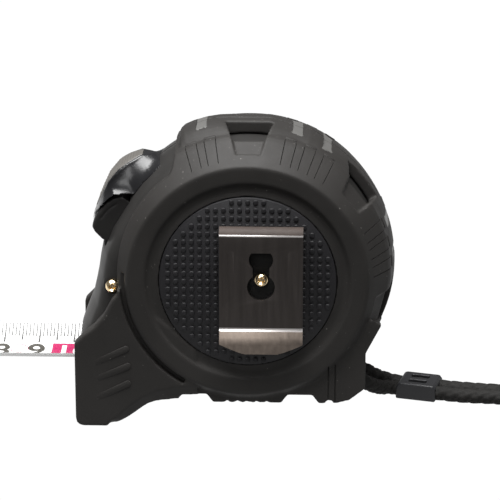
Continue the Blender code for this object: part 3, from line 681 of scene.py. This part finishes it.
def ring_profile():
    """(radius, y) of the jacket's outside: dished ring, stepped shoulder and the curved crown."""
    side = [
        (DISC_RADIUS + 0.15, 18.2), (DISC_RADIUS + 0.15, 19.2), (25.0, 19.05), (26.2, 18.85), (27.3, 18.95),
        (28.0, 19.35), (28.4, 19.85), (28.8, HALF_WIDTH), (32.6, HALF_WIDTH), (33.2, 19.85), (33.6, 19.45),
        (34.0, 18.9), (34.5, 18.3), (38.7, 12.5), (39.4, 11.0),
    ]
    near = [(radius, -y) for radius, y in side]
    crown = [(crown_radius(y), y) for y in (-9.0, -6.0, -3.0, 0.0, 3.0, 6.0, 9.0)]
    return near + crown + side[::-1]


def foot_rib(start, end, width, proud):
    """A low rib on the foot's side that fades out towards its start."""
    a, b = Vector(start), Vector(end)
    along = (b - a).normalized()
    across = Vector((-along.y, along.x)) * width / 2
    outline = [a + across, a - across, b - across - along * 0.3, b - across * 0.4 + along * 0.2]
    outline += [b + across * 0.4 + along * 0.2, b + across - along * 0.3]

    def face(x, z):
        share = (Vector((x, z)) - a).dot(along) / (b - a).length
        return -FOOT_HALF_WIDTH - proud * max(0.0, min(1.0, share * 1.6))

    return extruded([tuple(point) for point in outline], -FOOT_HALF_WIDTH + 1.0, face)


FOOT_RIB_LINES = (
    ((-42.6, -24.6), (-33.2, -19.9)), ((-42.0, -29.3), (-32.7, -25.0)), ((-42.0, -35.0), (-32.8, -30.2)),
)
TREAD_HALF_WIDTH = 17.4


def jacket_body():
    whole = turned(ring_profile() + [(30.0, 12.0), (30.0, -12.0)], ring=True)
    top = [(58.0, 0.1), (62.0, 0.6), (66.0, 0.85), (82.0, 0.85), (98.0, 0.85), (102.0, 1.3), (107.0, 1.65)]
    top += [(112.0, 1.8), (115.5, 1.75), (117.6, 1.2), (118.6, 0.3)]
    join(whole, crown_band(top))
    tread_and_heel = (
        (-16.0, BASE - 3), (24.2, BASE - 3), (24.2, BASE), (28.3, -35.6), (31.3, -33.2), (32.5, -32.2),
        (32.7, -31.0), (32.7, -21.6), (33.1, -20.8), (37.5, -12.1), (34.0, -11.5), (24.0, -26.0),
        (-16.0, -26.0),
    )
    join(whole, extruded(tread_and_heel, -TREAD_HALF_WIDTH, TREAD_HALF_WIDTH))
    cut(whole, block((-60, -30, -60), (60, 30, BASE)))
    foot = extruded(
        foot_outline(), -FOOT_HALF_WIDTH, FOOT_HALF_WIDTH,
        ((0.9, 3, lambda x, z: z > -42.5 or x < -39.2),),
    )
    cut(foot, arch_slope(-1), arch_slope(1))
    return join(foot, whole)


def foot_ribs():
    """The three low ribs on each side of the foot."""
    ribs = []
    for start, end in FOOT_RIB_LINES:
        near = foot_rib(start, end, 1.85, 0.35)
        far = copy_of(near)
        far.data.transform(Matrix.Scale(-1, 4, (0, 1, 0)))
        far.data.flip_normals()
        ribs += [near, far]
    return ribs


def open_jacket(whole):
    """Cuts everything that the jacket goes round."""
    nose_room = arc(LIP_RADIUS, 187, 127, 24)
    for radius, angle in ((36.7, 125.2), (37.8, 123.0), (39.6, 121.0), (42.0, 119.2), (60, 118.4), (70, 150)):
        nose_room.append(polar(radius, angle))
    nose_room += [(-70, -19), (-48.2, -19.0), (-45.0, -15.7), (-42.6, -13.8), (-39.8, -10.4), (-37.7, -6.3)]
    cut(whole, extruded(nose_room, -30, 30))
    inside = drum(16.7, [(33.0, -16.7), (35.6, -13.6), (37.0, -10.6), (SHELL_RADIUS + 0.3, -8.0)])
    cut(inside, block((-60, -30, -60), (60, 30, -33.7)))
    cut(whole, inside)
    reach = NOSE_HALF_WIDTH + 0.1
    cut(
        whole,
        block((-60, -reach, -32.0), (-24, reach, -4)),
        rod((0, 0), DISC_RADIUS + 0.15, -30, 30, 144),
        lanyard_room(),
        rod(FOOT_SCREW, 2.25, 12.0, 30),
        rod(HEEL_SCREW, 2.25, 9.5, 30),
    )
    for left, right in ((-20.2, -9.7), (9.2, 19.8)):
        mouth, roof = BASE - 1, BASE + 2.5
        notch = ((left - 0.7, mouth), (left + 1.9, roof), (right - 1.9, roof), (right + 0.7, mouth))
        cut(whole, extruded(notch, -30, 30))
    for angle in WINDOW_ANGLES:
        cut(whole, *windows(angle))
    for side in (-1, 1):
        cut(whole, arc_band(33.95, 35.4, 177, 239.5, *side_span(side, 17.3, 30)))
    for i in range(5):
        left = -6.6 + 2.8 * i
        cut(whole, block((left, -30, BASE - 1), (left + 1.3, 30, BASE + 0.35)))
    cut(whole, block((21.7, -30, BASE - 1), (23.7, 30, BASE + 0.9)))
    return cut(whole, *[base_slot(angle, side) for angle in (261, 266, 271, 276) for side in (-1, 1)])


def groove_faces(obj):
    """Gives the smooth floors of the crown's grooves the paler finish."""
    for face in obj.data.polygons:
        x, y, z = face.center
        radius = math.hypot(x, z)
        angle = math.degrees(math.atan2(z, x))
        groove = min(GROOVE_FLOORS, key=lambda middle: abs(angle - middle))
        inside = abs(y) < 8.7 and abs(angle - groove) < GROOVE_HALF_ANGLE
        if inside and abs(radius - GROOVE_FLOORS[groove]) < 0.2:
            face.material_index = 1


def fine_lines(side):
    """Cutters for the crown's grooves and the hairlines, made after the moulding so they stay crisp."""
    tools = []
    for angle, floor in GROOVE_FLOORS.items():
        start, end = angle - GROOVE_HALF_ANGLE, angle + GROOVE_HALF_ANGLE
        tools.append(arc_band(floor, 46, start, end, -8.9, 8.9, 7))
    for angle in PAD_ANGLES:
        tools += [hairline(angle - RIB_HALF_ANGLE, side), hairline(angle + RIB_HALF_ANGLE, side)]
    low, high = side_span(side, 16.9, 30)
    for left in (22.2, 24.1):
        tools.append(block((left, low, -40.0), (left + 0.4, high, -24.6)))
    return tools


def make_jackets():
    whole = open_jacket(jacket_body())
    for obj, name, side in zip(split_at_seam(whole), ("near_jacket", "far_jacket"), (-1, 1)):
        moulded(obj, 0.36, 2, 0.34)
        cut(obj, *fine_lines(side))
        shaded(obj, 48)
        painted(obj, "jacket", "groove")
        groove_faces(obj)
        placed(obj, name + "_skin", "case", (name,))
        for i, angle in enumerate(PAD_ANGLES):
            top = painted(crisp(pad_top(angle, side), 0.10), "jacket")
            placed(top, f"{name}_rib_{i + 1}", "case")
    for i, obj in enumerate(foot_ribs()):
        painted(crisp(obj, 0.15), "jacket")
        placed(obj, f"foot_rib_{i + 1}", "case")


# ---------------------------------------------------------------- shell

def lanyard_room():
    """A cutter for the pocket round the strap post."""
    return block((20.3, -7.9, -36.3), (40.0, 7.9, -31.5))


def nose_outline(wall=0.0):
    track = arc(TRACK_RADIUS - wall, 114, 151, 14)
    face = [
        (-38.3, 12.2), (-41.0, 5.6), (-41.8, 1.5), (-42.3, -2.0), (-43.0, -5.5), (-43.9, -9.5),
        (-45.1, -12.5), (-46.2, -15.5), (-47.3, -18.6), (-47.7, -21.5),
    ]
    return track + [(x + wall, z - wall * 0.3) for x, z in face]


def nose_block():
    """The nose: its outline carried across the shell, rounded off towards both sides like the crown."""
    line = nose_outline() + [(-47.6, -31.0)]
    steps, corner_radius = 16, 3.2
    sections = []
    for step in range(-steps, steps + 1):
        y = NOSE_HALF_WIDTH * math.sin(step / steps * math.pi / 2)
        into_corner = max(0.0, abs(y) - (NOSE_HALF_WIDTH - corner_radius)) / corner_radius
        sink = crown_sink(y) + corner_radius * (1 - math.sqrt(max(0.0, 1 - into_corner ** 2)))
        section = []
        for i, (x, z) in enumerate(line):
            before, after = Vector(line[max(i - 1, 0)]), Vector(line[min(i + 1, len(line) - 1)])
            along = (after - before).normalized()
            fade = min(1.0, max(0.0, (z + 24.0) / 8.0))
            section.append((x - along.y * sink * fade, y, z + along.x * sink * fade))
        section += [(-30.0, y, -31.0), (-10.0, y, -20.0), (-8.0, y, 25.0), (-14.5, y, 31.0)]
        sections.append(section)
    return loft(sections)


def shell_body():
    """The outside of the shell: the drum, the nose with its lower lip, and the heel."""
    slope = [(30.0, -16.4), (32.6, -15.7), (34.6, -14.0), (36.2, -11.4), (37.1, -8.4), (SHELL_RADIUS, -5.0)]
    body = drum(16.4, slope)
    cut(body, block((-60, -30, -60), (60, 30, -33.4)))
    lip = (
        (-47.6, -22.0), (-47.6, -31.0), (-44.8, -31.0), (-44.8, -39.9), (-36.0, -39.6), (-30.0, -36.2),
        (-24.0, -34.2), (-20.0, -33.4), (-15.0, -25.0),
    )
    nose = join(nose_block(), extruded(lip, -NOSE_HALF_WIDTH, NOSE_HALF_WIDTH))
    heel = ((18.0, -34.6), (30.2, -34.6), (30.2, -28.5), (29.6, -24.0), (32.2, -18.0), (18.0, -10.0))
    return join(body, nose, extruded(heel, -12.0, 12.0))


def open_shell(body):
    """Hollows the shell and cuts its mouth, its two slots and its screw holes."""
    reach, nose_reach = 13.3, 11.0
    chamber = drum(13.9, [(31.2, -13.9), (34.4, -10.0)])
    cut(chamber, block((-60, -30, -60), (60, 30, -31.2)))
    hollow = nose_outline(3.2) + [(-44.4, -22.5), (-20.0, -22.5), (-15.0, 22.0)]
    cut(
        body,
        chamber,
        extruded(hollow, -nose_reach, nose_reach),
        block((-60.0, -reach, -31.2), (-13.0, reach, -22.4)),
        block((-60.0, -reach, -32.0), (-34.2, reach, -30.0)),
    )
    join(body, rod(NOSE_SCREW, 2.7, -14.0, 14.0))
    lock_slot = arc(35.0, 131.5, 148.2, 7) + arc(42.0, 148.2, 131.5, 7)
    button_slot = ((-46.5, 6.9), (-36.9, 5.9), (-31.4, 18.0), (-34.6, 21.4), (-46.5, 21.4))
    cut(body, extruded(lock_slot, -2.9, 2.9), extruded(button_slot, -8.3, 8.3))
    for centre, radius, low, high in (
        (NOSE_SCREW, 2.1, -30, -14.4), (NOSE_SCREW, 1.5, -30, 11.5),
        (FOOT_SCREW, 1.5, -11.5, 30), (FOOT_SCREW, 2.2, 12.0, 30),
        (HEEL_SCREW, 1.5, -10.4, 30), (HEEL_SCREW, 2.2, 9.5, 30),
        ((CLIP_X, CLIP_SCREW_Z), 1.7, -30, -10), ((CLIP_X, CLIP_SCREW_Z), 2.9, -15.1, 15.1),
    ):
        cut(body, rod(centre, radius, low, high))
    return cut(body, lanyard_room(), upright_rod((27.0, 0), 1.9, -36, -28.2))


def make_shells():
    body = open_shell(shell_body())
    for obj, name in zip(split_at_seam(body), ("near_shell", "far_shell")):
        moulded(obj, 0.42, 3, 0.45)
        painted(obj, "shell")
        placed(obj, name + "_skin", "case", (name,))


# ---------------------------------------------------------------- lock slider and button

SLIDER_TOP = (
    (-26.5, 31.0), (-30.1, 31.0), (-33.7, 29.2), (-36.2, 27.5), (-39.0, 24.1), (-40.7, 20.5), (-42.1, 17.2),
    (-43.4, 14.0),
)
SLIDER_EDGE = ((-37.3, 21.3), (-39.8, 19.2), (-41.9, 16.3), (-43.7, 12.9))


def along_line(points, share):
    """The point at that share of a polyline's length."""
    points = [Vector(point) for point in points]
    lengths = [(b - a).length for a, b in zip(points, points[1:])]
    left = share * sum(lengths)
    for a, b, length in zip(points, points[1:], lengths):
        if left <= length:
            return a.lerp(b, left / length)
        left -= length
    return points[-1]


def slider_section(share):
    """A slice across the slider: a lens-shaped top, and hollow sides that flare out to the track."""
    top = along_line(SLIDER_TOP, share)
    base_line = arc(TRACK_RADIUS - 0.9, 129.3, 146.0, 12) + list(SLIDER_EDGE)
    base = along_line(base_line, share)
    strip = strip_half(share)
    base_half = 9.0
    ring = []
    for side in (-1, 1):
        half = []
        for step in range(9):
            t = step / 8
            flare = strip + (base_half - strip) * (t ** 1.5)
            spot = top.lerp(base, t)
            half.append((spot.x, side * flare, spot.y))
        ring += half if side < 0 else half[::-1]
    return ring


def strip_half(share):
    """Half the width of the slider's flat top at that share of its length."""
    return 0.8 + 5.2 * math.sin(math.pi * min(1.0, max(0.0, share))) ** 0.8


def make_slider():
    body = loft([slider_section(i / 28) for i in range(29)])
    stem = arc(34.9, 140.5, 147.5, 3) + arc(TRACK_RADIUS + 1.2, 147.5, 140.5, 3)
    join(body, extruded(stem, -2.5, 2.5))
    moulded(body, 0.26, 3, 0.6)
    painted(body, "slider")
    placed(body, "lock_slider_skin", "lock", ("lock_slider",))

    sections = []
    shares = [0.12 + 0.80 * i / 24 for i in range(25)]
    for share in shares:
        spot = along_line(SLIDER_TOP, share)
        ahead = (along_line(SLIDER_TOP, share + 0.02) - along_line(SLIDER_TOP, share - 0.02)).normalized()
        out = Vector((-ahead.y, ahead.x))
        if out.dot(spot) < 0:
            out = -out
        half = max(0.35, strip_half(share) - 0.85)
        section = []
        for place, rise in ((-1, -0.5), (-1, 0.12), (-0.5, 0.17), (0.5, 0.17), (1, 0.12), (1, -0.5)):
            section.append((spot.x + out.x * rise, half * place, spot.y + out.y * rise))
        sections.append(section)
    thumb = loft(sections)
    ridges = []
    for share in shares[3:22]:
        spot = along_line(SLIDER_TOP, share)
        reach = max(0.3, strip_half(share) - 1.6)
        ridges.append(rod((spot.x - 0.02, spot.y + 0.02), 0.30, -reach, reach, 10))
    join(thumb, *ridges)
    moulded(thumb, 0.16, 2, 0.5)
    painted(thumb, "thumb")
    placed(thumb, "thumb_pad_skin", "lock", ("thumb_pad",))


def make_button():
    outline = (
        (-35.3, 20.5), (-37.4, 20.0), (-39.9, 18.3), (-42.2, 15.4), (-43.4, 12.6), (-43.6, 11.4),
        (-42.9, 10.0), (-40.9, 7.9), (-37.3, 6.7), (-32.9, 18.8),
    )
    body = extruded(outline, -8.0, 8.0, ((0.7, 3, lambda x, z: math.hypot(x, z) > 40.0),))
    groove = [(x * 0.985 + 0.2, z * 0.985 - 1.1) for x, z in outline[1:4]]
    hair = [(x + 0.35, z - 0.3) for x, z in groove]
    cut(body, extruded(groove + hair[::-1], -9.0, -7.75), extruded(groove + hair[::-1], 7.75, 9.0))
    moulded(body, 0.24, 3, 0.6)
    painted(body, "button")
    placed(body, "stop_button_skin", "button", ("stop_button",))


# ---------------------------------------------------------------- side discs

def make_disc(name, side):
    """A rubber disc covered in small raised bumps."""
    face = DISC_FACE if side < 0 else -DISC_FACE
    back = -SIDE_BACK if side < 0 else SIDE_BACK
    edge = DISC_RADIUS
    body = turned(((0, back), (edge, back), (edge, face - side * 0.2), (edge - 0.2, face), (0, face)))
    if side < 0:
        cut(body, rod((CLIP_X, CLIP_SCREW_Z), 1.6, -30, 0))
    shape = bmesh.new()
    shape.from_mesh(body.data)
    bpy.data.objects.remove(body)
    pitch_x, pitch_z = 2.2, 2.3
    count = int(edge / pitch_x) + 1
    for i in range(-count, count + 1):
        for k in range(-count, count + 1):
            x, z = i * pitch_x, k * pitch_z
            if math.hypot(x, z) < edge - 0.9:
                add_bump(shape, x, face, z, side)
    obj = shaded(object_of(shape), 50)
    painted(obj, "disc")
    placed(obj, name + "_bumped", "case", (name,))


def add_bump(shape, x, face, z, side):
    """A low square stud with rounded corners."""
    sections = []
    for share, rise in ((1.0, -0.10), (0.96, 0.14), (0.80, 0.30), (0.55, 0.33)):
        section = []
        for i in range(12):
            angle = 2 * math.pi * (i + 0.5) / 12
            square = share * (abs(math.cos(angle)) ** 4 + abs(math.sin(angle)) ** 4) ** -0.25
            across, up = 0.70 * square * math.cos(angle), 0.78 * square * math.sin(angle)
            section.append((x + across, face + side * rise, z + up))
        sections.append(section)
    rings = tube(sections, shape)[1]
    shape.faces.new(rings[0])
    shape.faces.new(rings[-1])


# ---------------------------------------------------------------- screws

def make_screw(node, head_side, dome):
    """A cross-head screw on the axis of its CAD node. Its cross is as deep as its domed head."""
    low, high = box_mm(node)
    x, z = (low.x + high.x) / 2, (low.z + high.z) / 2
    head, tip = (low.y, high.y) if head_side < 0 else (high.y, low.y)
    head_radius, shank_radius = 1.95, 1.2
    depths = [(0, 0), (0.7, 0.03), (1.3, 0.22), (1.75, 0.6), (head_radius, dome), (head_radius, dome + 0.35)]
    depths.append((shank_radius, dome + 0.4))
    profile = [(radius, head - head_side * depth) for radius, depth in depths]
    body = turned(profile + [(shank_radius, tip), (0, tip)], (x, z), 40)
    for angle in (0, 90):
        sections = []
        for depth, long, wide in ((-0.6, 1.5, 0.50), (dome, 0.5, 0.22)):
            corners = ((-long, -wide), (long, -wide), (long, wide), (-long, wide))
            sections.append([(a, head - head_side * depth, b) for a, b in corners])
        tool = loft(sections)
        turn = Matrix.Rotation(math.radians(angle + 12), 4, "Y")
        tool.data.transform(Matrix.Translation((x, 0, z)) @ turn)
        cut(body, tool)
    crisp(body, 0.05, 40, 50)
    painted(body, "screw")
    placed(body, node + "_head", "case", (node,))


# ---------------------------------------------------------------- belt clip

def clip_line():
    """(y, z) centre line of the clip's strip, from the back plate up over the fold and down to the lip."""
    fold_y, fold_z, fold_radius = -22.45, 14.5, 2.05
    line = [(fold_y + fold_radius, -6.5), (fold_y + fold_radius, 5.5)]
    for i in range(17):
        angle = math.pi * i / 16
        line.append((fold_y + fold_radius * math.cos(angle), fold_z + fold_radius * math.sin(angle)))
    line += [(-24.47, 9.5), (-24.35, 1.5), (-24.1, -6.5), (-24.0, -11.6), (-24.03, -11.95), (-24.15, -12.3)]
    line += [(-24.35, -12.7), (-25.0, -14.3), (-25.8, -16.3), (-26.65, -18.5)]
    return line


def thickened(line, half):
    left, right = [], []
    for i, here in enumerate(line):
        before, after = Vector(line[max(i - 1, 0)]), Vector(line[min(i + 1, len(line) - 1)])
        along = (after - before).normalized()
        left.append((here[0] - along.y * half, here[1] + along.x * half))
        right.append((here[0] + along.y * half, here[1] - along.x * half))
    return left + right[::-1]


def clip_finish(place, facing):
    """Which of the clip's materials a face has: plate, painted shade on the back, painted highlight on the
    fold's strip that faces up and on the lip's edge, paler painted lip, or painted tone on the fold's top.
    """
    # Painted shade on the back plate, behind the front plate.
    if place.y > -22.9 and place.z < 14.0:
        return 1
    on_fold = place.z > 14.0
    # Painted highlight on the fold's strip that faces up towards the top light.
    if on_fold and 0.2 < facing.z < 0.4:
        return 2
    # Painted tone on the fold's up-facing top, set for the top light.
    if on_fold and facing.z >= 0.4:
        return 4
    # Painted highlight on the lip's upper edge where it faces the front, and a paler painted tone over the
    # rest of the lip for the light it catches.
    if place.z < -11.7:
        return 2 if place.z > -12.35 and facing.y < -0.5 else 3
    return 0


def make_clip():
    half = (CLIP_HIGH.x - CLIP_LOW.x) / 2 - 0.3
    strip = thickened(clip_line(), 0.45)
    clip = loft([[(x, y, z) for y, z in strip] for x in (CLIP_X - half, CLIP_X + half)])
    front = (-30.0, -22.9)  # reaches through the front plate and not the back one
    cut(
        clip,
        block((CLIP_X - 2.3, front[0], 1.5), (CLIP_X + 2.3, front[1], 8.0)),
        cut(rod((CLIP_X, 8.3), 3.3, *front, 48), block((-20, -40, 10.3), (20, 0, 20))),
        rod((CLIP_X, 0.4), 3.8, *front, 48),
        rod((CLIP_X, CLIP_SCREW_Z), 1.6, -22.9, -15, 32),
    )
    for side in (-1, 1):
        edge = CLIP_X + side * half
        points = [(edge + side, -15.1), (edge, -15.9)]
        for i in range(1, 9):
            t = i / 8
            points.append((edge - side * half * t, -15.9 - 3.0 * math.sin(t * math.pi / 2)))
        points += [(CLIP_X - side * 0.01, -26.0), (edge + side, -26.0)]
        cut(clip, extruded(points, *front))
    for side in (-1, 1):
        x = CLIP_X + side * 8.2
        left, right = x - 1.15, x + 1.15
        channel = [(left, 9.7), (x - 0.6, 10.7), (x + 0.6, 10.7), (right, 9.7), (right, -9.5), (left, -9.5)]
        cut(clip, extruded(channel, -30, -24.65))
    crisp(clip, 0.16, 50)
    # The clip's steel gets painted shade on the back plate, painted highlights on the fold's strip and the
    # lip's edge, and painted tones on the lip and the fold's top where they face the lights.
    painted(clip, "clip", "clip_back_painted_shade", "clip_highlight", "clip_lip_painted_light", "clip_fold_painted_tone")
    for face in clip.data.polygons:
        face.material_index = clip_finish(face.center, face.normal)
    placed(clip, "belt_clip_bent", "case", ("belt_clip",))


# ---------------------------------------------------------------- blade

BLADE_HALF_WIDTH = BLADE_HIGH.y
BLADE_SAG = 4.0
SECTION_RADIUS = (BLADE_HALF_WIDTH ** 2 + BLADE_SAG ** 2) / (2 * BLADE_SAG)
SECTION_CENTRE = BLADE_HIGH.z - BLADE_SAG + SECTION_RADIUS
BLADE_THICKNESS = 0.35


def blade_height(y, lift=0.0):
    """Height of the blade's upper face at y, raised by lift."""
    return SECTION_CENTRE - math.sqrt((SECTION_RADIUS - lift) ** 2 - y * y)


def draws_in(obj):
    """Gives the blade or one of its printed pieces a mesh of its own."""
    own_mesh(obj)


def make_blade():
    count = 25
    ys = [BLADE_HALF_WIDTH * (2 * i / (count - 1) - 1) for i in range(count)]
    upper = [(y, blade_height(y)) for y in ys]
    lower = [(y, blade_height(y, -BLADE_THICKNESS)) for y in ys]
    stations = [BLADE_LOW.x + (BLADE_HIGH.x - BLADE_LOW.x) * i / 60 for i in range(61)]
    shape, rings = tube([[(x, y, z) for y, z in upper + lower[::-1]] for x in stations])
    total = len(rings[0])
    for ring in (rings[0], rings[-1]):
        for i in range(count - 1):
            shape.faces.new((ring[i], ring[i + 1], ring[total - 2 - i], ring[total - 1 - i]))
    blade = shaded(object_of(shape), 40)
    painted(blade, "blade")
    placed(blade, "blade_strip_printed", "case", ("blade_strip",))
    draws_in(blade)
    make_marks()


INK_LIFT = 0.03


def ink_patch(shape, x_low, x_high, y_low, y_high):
    """A patch of ink that follows the blade's curve."""
    rows = max(1, math.ceil((y_high - y_low) / 1.0))
    previous = None
    for i in range(rows + 1):
        y = y_low + (y_high - y_low) * i / rows
        z = blade_height(y, INK_LIFT)
        pair = [shape.verts.new((x, y, z)) for x in (x_low, x_high)]
        if previous:
            shape.faces.new((previous[0], previous[1], pair[1], pair[0]))
        previous = pair


def finished_marks(shape, name, key):
    bmesh.ops.recalc_face_normals(shape, faces=shape.faces)
    if sum(face.normal.z for face in shape.faces) < 0:
        bmesh.ops.reverse_faces(shape, faces=shape.faces)
    obj = painted(linked(name, mesh_of(shape, name)), key)
    placed(obj, name, "case")
    draws_in(obj)


def figure(shape, words, x, y_middle, height):
    """A printed number that follows the blade's curve, upright for a reader on the near side."""
    curve = bpy.data.curves.new("figure", "FONT")
    curve.body = words
    curve.size = height / 0.70
    curve.offset = 0.18
    curve.align_x = "CENTER"
    obj = linked("figure", curve)
    graph = bpy.context.evaluated_depsgraph_get()
    flat = bpy.data.meshes.new_from_object(obj.evaluated_get(graph))
    bpy.data.objects.remove(obj)
    made = bmesh.new()
    made.from_mesh(flat)
    bmesh.ops.triangulate(made, faces=made.faces)
    long_edges = [edge for edge in made.edges if edge.calc_length() > 1.2]
    bmesh.ops.subdivide_edges(made, edges=long_edges, cuts=2, use_grid_fill=True)
    bmesh.ops.triangulate(made, faces=made.faces)
    for vert in made.verts:
        y = vert.co.y - height / 2 + y_middle
        vert.co = (vert.co.x + x, y, blade_height(y, 0.05))
    shape.from_mesh(mesh_of(made, "figure"))


def make_marks():
    edge = BLADE_HALF_WIDTH - 0.15
    ticks = bmesh.new()
    last = int(BLADE_HIGH.x - 6 - SCALE_START)
    for i in range(2, last):
        x = SCALE_START + i
        reach = 7.0 if i % 10 == 0 else 6.0 if i % 5 == 0 else 4.4
        half = 0.24 if i % 5 == 0 else 0.21
        ink_patch(ticks, x - half, x + half, edge - reach, edge)
        ink_patch(ticks, x - half, x + half, -edge, -edge + reach * 0.72)
    finished_marks(ticks, "blade_ticks", "tick")
    figures, white, pink = bmesh.new(), bmesh.new(), bmesh.new()
    for i in range(1, 13):
        x = SCALE_START + 10 * i
        if i == 10:
            ink_patch(pink, x - 5.9, x + 5.9, -5.0, 4.3)
            figure(white, str(i), x, -0.2, 7.0)
        else:
            figure(figures, str(i), x - 0.4, 0.2, 7.4)
        for k in range(12 if i == 9 else 0):
            a, b = math.pi * 2 * k / 12, math.pi * 2 * (k + 1) / 12
            add_stroke(pink, (x - 5.2, 0.9), a, b)
    finished_marks(figures, "blade_figures", "ink")
    finished_marks(white, "blade_white_figures", "blade")
    finished_marks(pink, "blade_pink_marks", "pink")


def add_stroke(shape, centre, a, b):
    """One stretch of a thin oval outline on the blade."""
    corners = []
    for angle, size in ((a, 1.0), (b, 1.0), (b, 0.93), (a, 0.93)):
        y = centre[1] + 2.9 * size * math.sin(angle)
        x = centre[0] + 2.6 * size * math.cos(angle)
        corners.append(shape.verts.new((x, y, blade_height(y, INK_LIFT))))
    shape.faces.new(corners)


def make_hook():
    """The end hook: the CAD shape with its edges rounded off, and its two rivets."""
    names = {
        "end_hook": "end_hook_pressed",
        "rear_hook_rivet": "rear_rivet_head",
        "front_hook_rivet": "front_rivet_head",
    }
    to_mm = Matrix.Scale(1 / MM, 4) @ Matrix.Translation(-CENTRE)
    for node, name in names.items():
        source = frame["nodes"][node]
        shape = bmesh.new()
        shape.from_mesh(source.data)
        bmesh.ops.remove_doubles(shape, verts=shape.verts, dist=1e-6)
        bmesh.ops.transform(shape, matrix=to_mm, verts=shape.verts)
        bmesh.ops.dissolve_limit(shape, angle_limit=math.radians(1), verts=shape.verts, edges=shape.edges)
        obj = painted(crisp(object_of(shape), 0.14, 50, 45), "hook")
        placed(obj, name, source["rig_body"], (node,))


# ---------------------------------------------------------------- lanyard

def braid(angle, along):
    """How far the braided cover stands out at a point, from 0 to 1: strands that cross over and under."""
    strands, lay = 5, 7.0
    right = strands * angle / (2 * math.pi) + along / lay * 2
    left = strands * angle / (2 * math.pi) - along / lay * 2
    over = math.sin(math.pi * right) * math.sin(math.pi * left) > 0
    bulge = abs(math.sin(math.pi * right)) if over else abs(math.sin(math.pi * left))
    return bulge ** 0.7


def make_lanyard():
    """The whole cord as one braided tube, and the bead on its two legs."""
    line, length = smooth_route([at(*point) for point in LANYARD_ROUTE], 0.5 * MM)
    sides = 28
    depth = 0.5
    sections = []
    for i, here in enumerate(line):
        forward = (line[min(i + 1, len(line) - 1)] - line[max(i - 1, 0)]).normalized()
        across = forward.cross(Vector((0, 0, 1))).normalized()
        up = across.cross(forward)
        along = length * i / (len(line) - 1) / MM
        section = []
        for k in range(sides):
            angle = 2 * math.pi * k / sides
            radius = (CORD_DIAMETER / 2 - depth * (1 - braid(angle, along))) * MM
            section.append(here + (across * math.cos(angle) + up * math.sin(angle)) * radius)
        sections.append(section)
    cord = loft(sections, "lanyard_cord")
    cord.data.shade_smooth()
    painted(cord, "cord")
    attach(cord, "case")
    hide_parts("lanyard_far_leg", "lanyard_near_leg", "lanyard_loop")
    bead = make_bead()


BEAD_CENTRE = (48.4, 7.0)
BEAD_SIZE = (11.6, 9.8, 4.95)
BEAD_YAW = math.radians(-14.7)


def make_bead():
    long, wide, tall = BEAD_SIZE
    low = SOLE + 0.02
    top = low + tall
    half = long / 2
    outline = (
        (-half, low + 0.3), (-half + 0.3, low), (half - 0.3, low), (half, low + 0.3),
        (half, top - 1.0), (half - 0.7, top - 0.1), (half - 1.3, top),
        (-half + 1.3, top), (-half + 0.6, top - 0.3), (-half, top - 1.4),
    )
    bead = extruded(outline, -wide / 2, wide / 2, ((0.8, 4, lambda x, z: True),))
    for y in (-1.9, 1.9):
        cut(bead, block((-2.6, y - 0.95, top - 2.6), (2.6, y + 0.95, top + 3)))
    moulded(bead, 0.17, 3, 0.5)
    bead.data.transform(Matrix.Translation((*BEAD_CENTRE, 0)) @ Matrix.Rotation(BEAD_YAW, 4, "Z"))
    painted(bead, "bead")
    return placed(bead, "cord_bead_moulded", "bead", ("cord_bead",))


# ---------------------------------------------------------------- studio

def add_area(name, place, aim, size, power):
    light = bpy.data.lights.new(name, "AREA")
    light.shape = "RECTANGLE"
    light.size, light.size_y = size
    light.energy = power
    obj = linked(name, light)
    obj.location = place
    obj.rotation_euler = (Vector(place) - Vector(aim)).to_track_quat("Z", "Y").to_euler()


def add_studio():
    bpy.context.scene.view_settings.view_transform = "Standard"
    world = bpy.data.worlds.new("studio")
    world.use_nodes = True
    shade = world.node_tree.nodes["Background"]
    shade.inputs["Color"].default_value = (1.0, 1.0, 1.0, 1)
    shade.inputs["Strength"].default_value = 0.17
    bpy.context.scene.world = world
    add_area("top_softbox", (-0.08, -0.10, 0.75), (0, 0, 0.04), (0.8, 0.6), 34)
    add_area("front_softbox", (-0.30, -0.95, 0.60), (0, 0, 0.04), (0.6, 0.25), 3.5)
    add_floor()
    add_reflection_card()


def add_sheet(name, half, place, **finish):
    """A flat sheet of the stage. finish holds inputs of its shader."""
    shape = bmesh.new()
    bmesh.ops.create_grid(shape, x_segments=1, y_segments=1, size=half)
    obj = linked(name, mesh_of(shape, name))
    obj.location = place
    material, _, shader = new_material(name)
    for key, value in finish.items():
        shader.inputs[key.replace("_", " ")].default_value = value
    obj.data.materials.append(material)
    return obj


def add_floor():
    """A plain glowing white floor, which holds no shadow. It starts a little in front of the object."""
    half = 1.5
    add_sheet(
        "studio_floor", half, (0, half - 0.10, CAD_BOX[0][2] - 0.0002),
        Base_Color=(0, 0, 0, 1), Roughness=1.0, Specular_IOR_Level=0.0,
        Emission_Color=(1, 1, 1, 1), Emission_Strength=1.02,
    )


def add_reflection_card():
    """A black card laid in front, seen only in reflections, which keeps the polished clip dark."""
    card = add_sheet(
        "black_card", 1.0, (0, -0.46, CAD_BOX[0][2] + 0.001), Base_Color=(0.01, 0.01, 0.01, 1), Roughness=0.9
    )
    card.scale = (0.45, 0.40, 1)
    card.visible_camera = False
    card.visible_diffuse = False
    card.visible_shadow = False


# ---------------------------------------------------------------- assembly

def build():
    add_camera()
    make_lanyard()
    paint_cad_nodes()
    make_jackets()
    make_shells()
    make_slider()
    make_button()
    for side, name in ((-1, "near_disc"), (1, "far_disc")):
        make_disc(name, side)
    for node, side, dome in (
        ("nose_screw", -1, 1.1), ("clip_screw", -1, 0.9), ("foot_screw", 1, 1.1), ("heel_screw", 1, 1.1)
    ):
        make_screw(node, side, dome)
    make_clip()
    make_blade()
    make_hook()
    add_studio()


build()
bpy.context.view_layer.update()
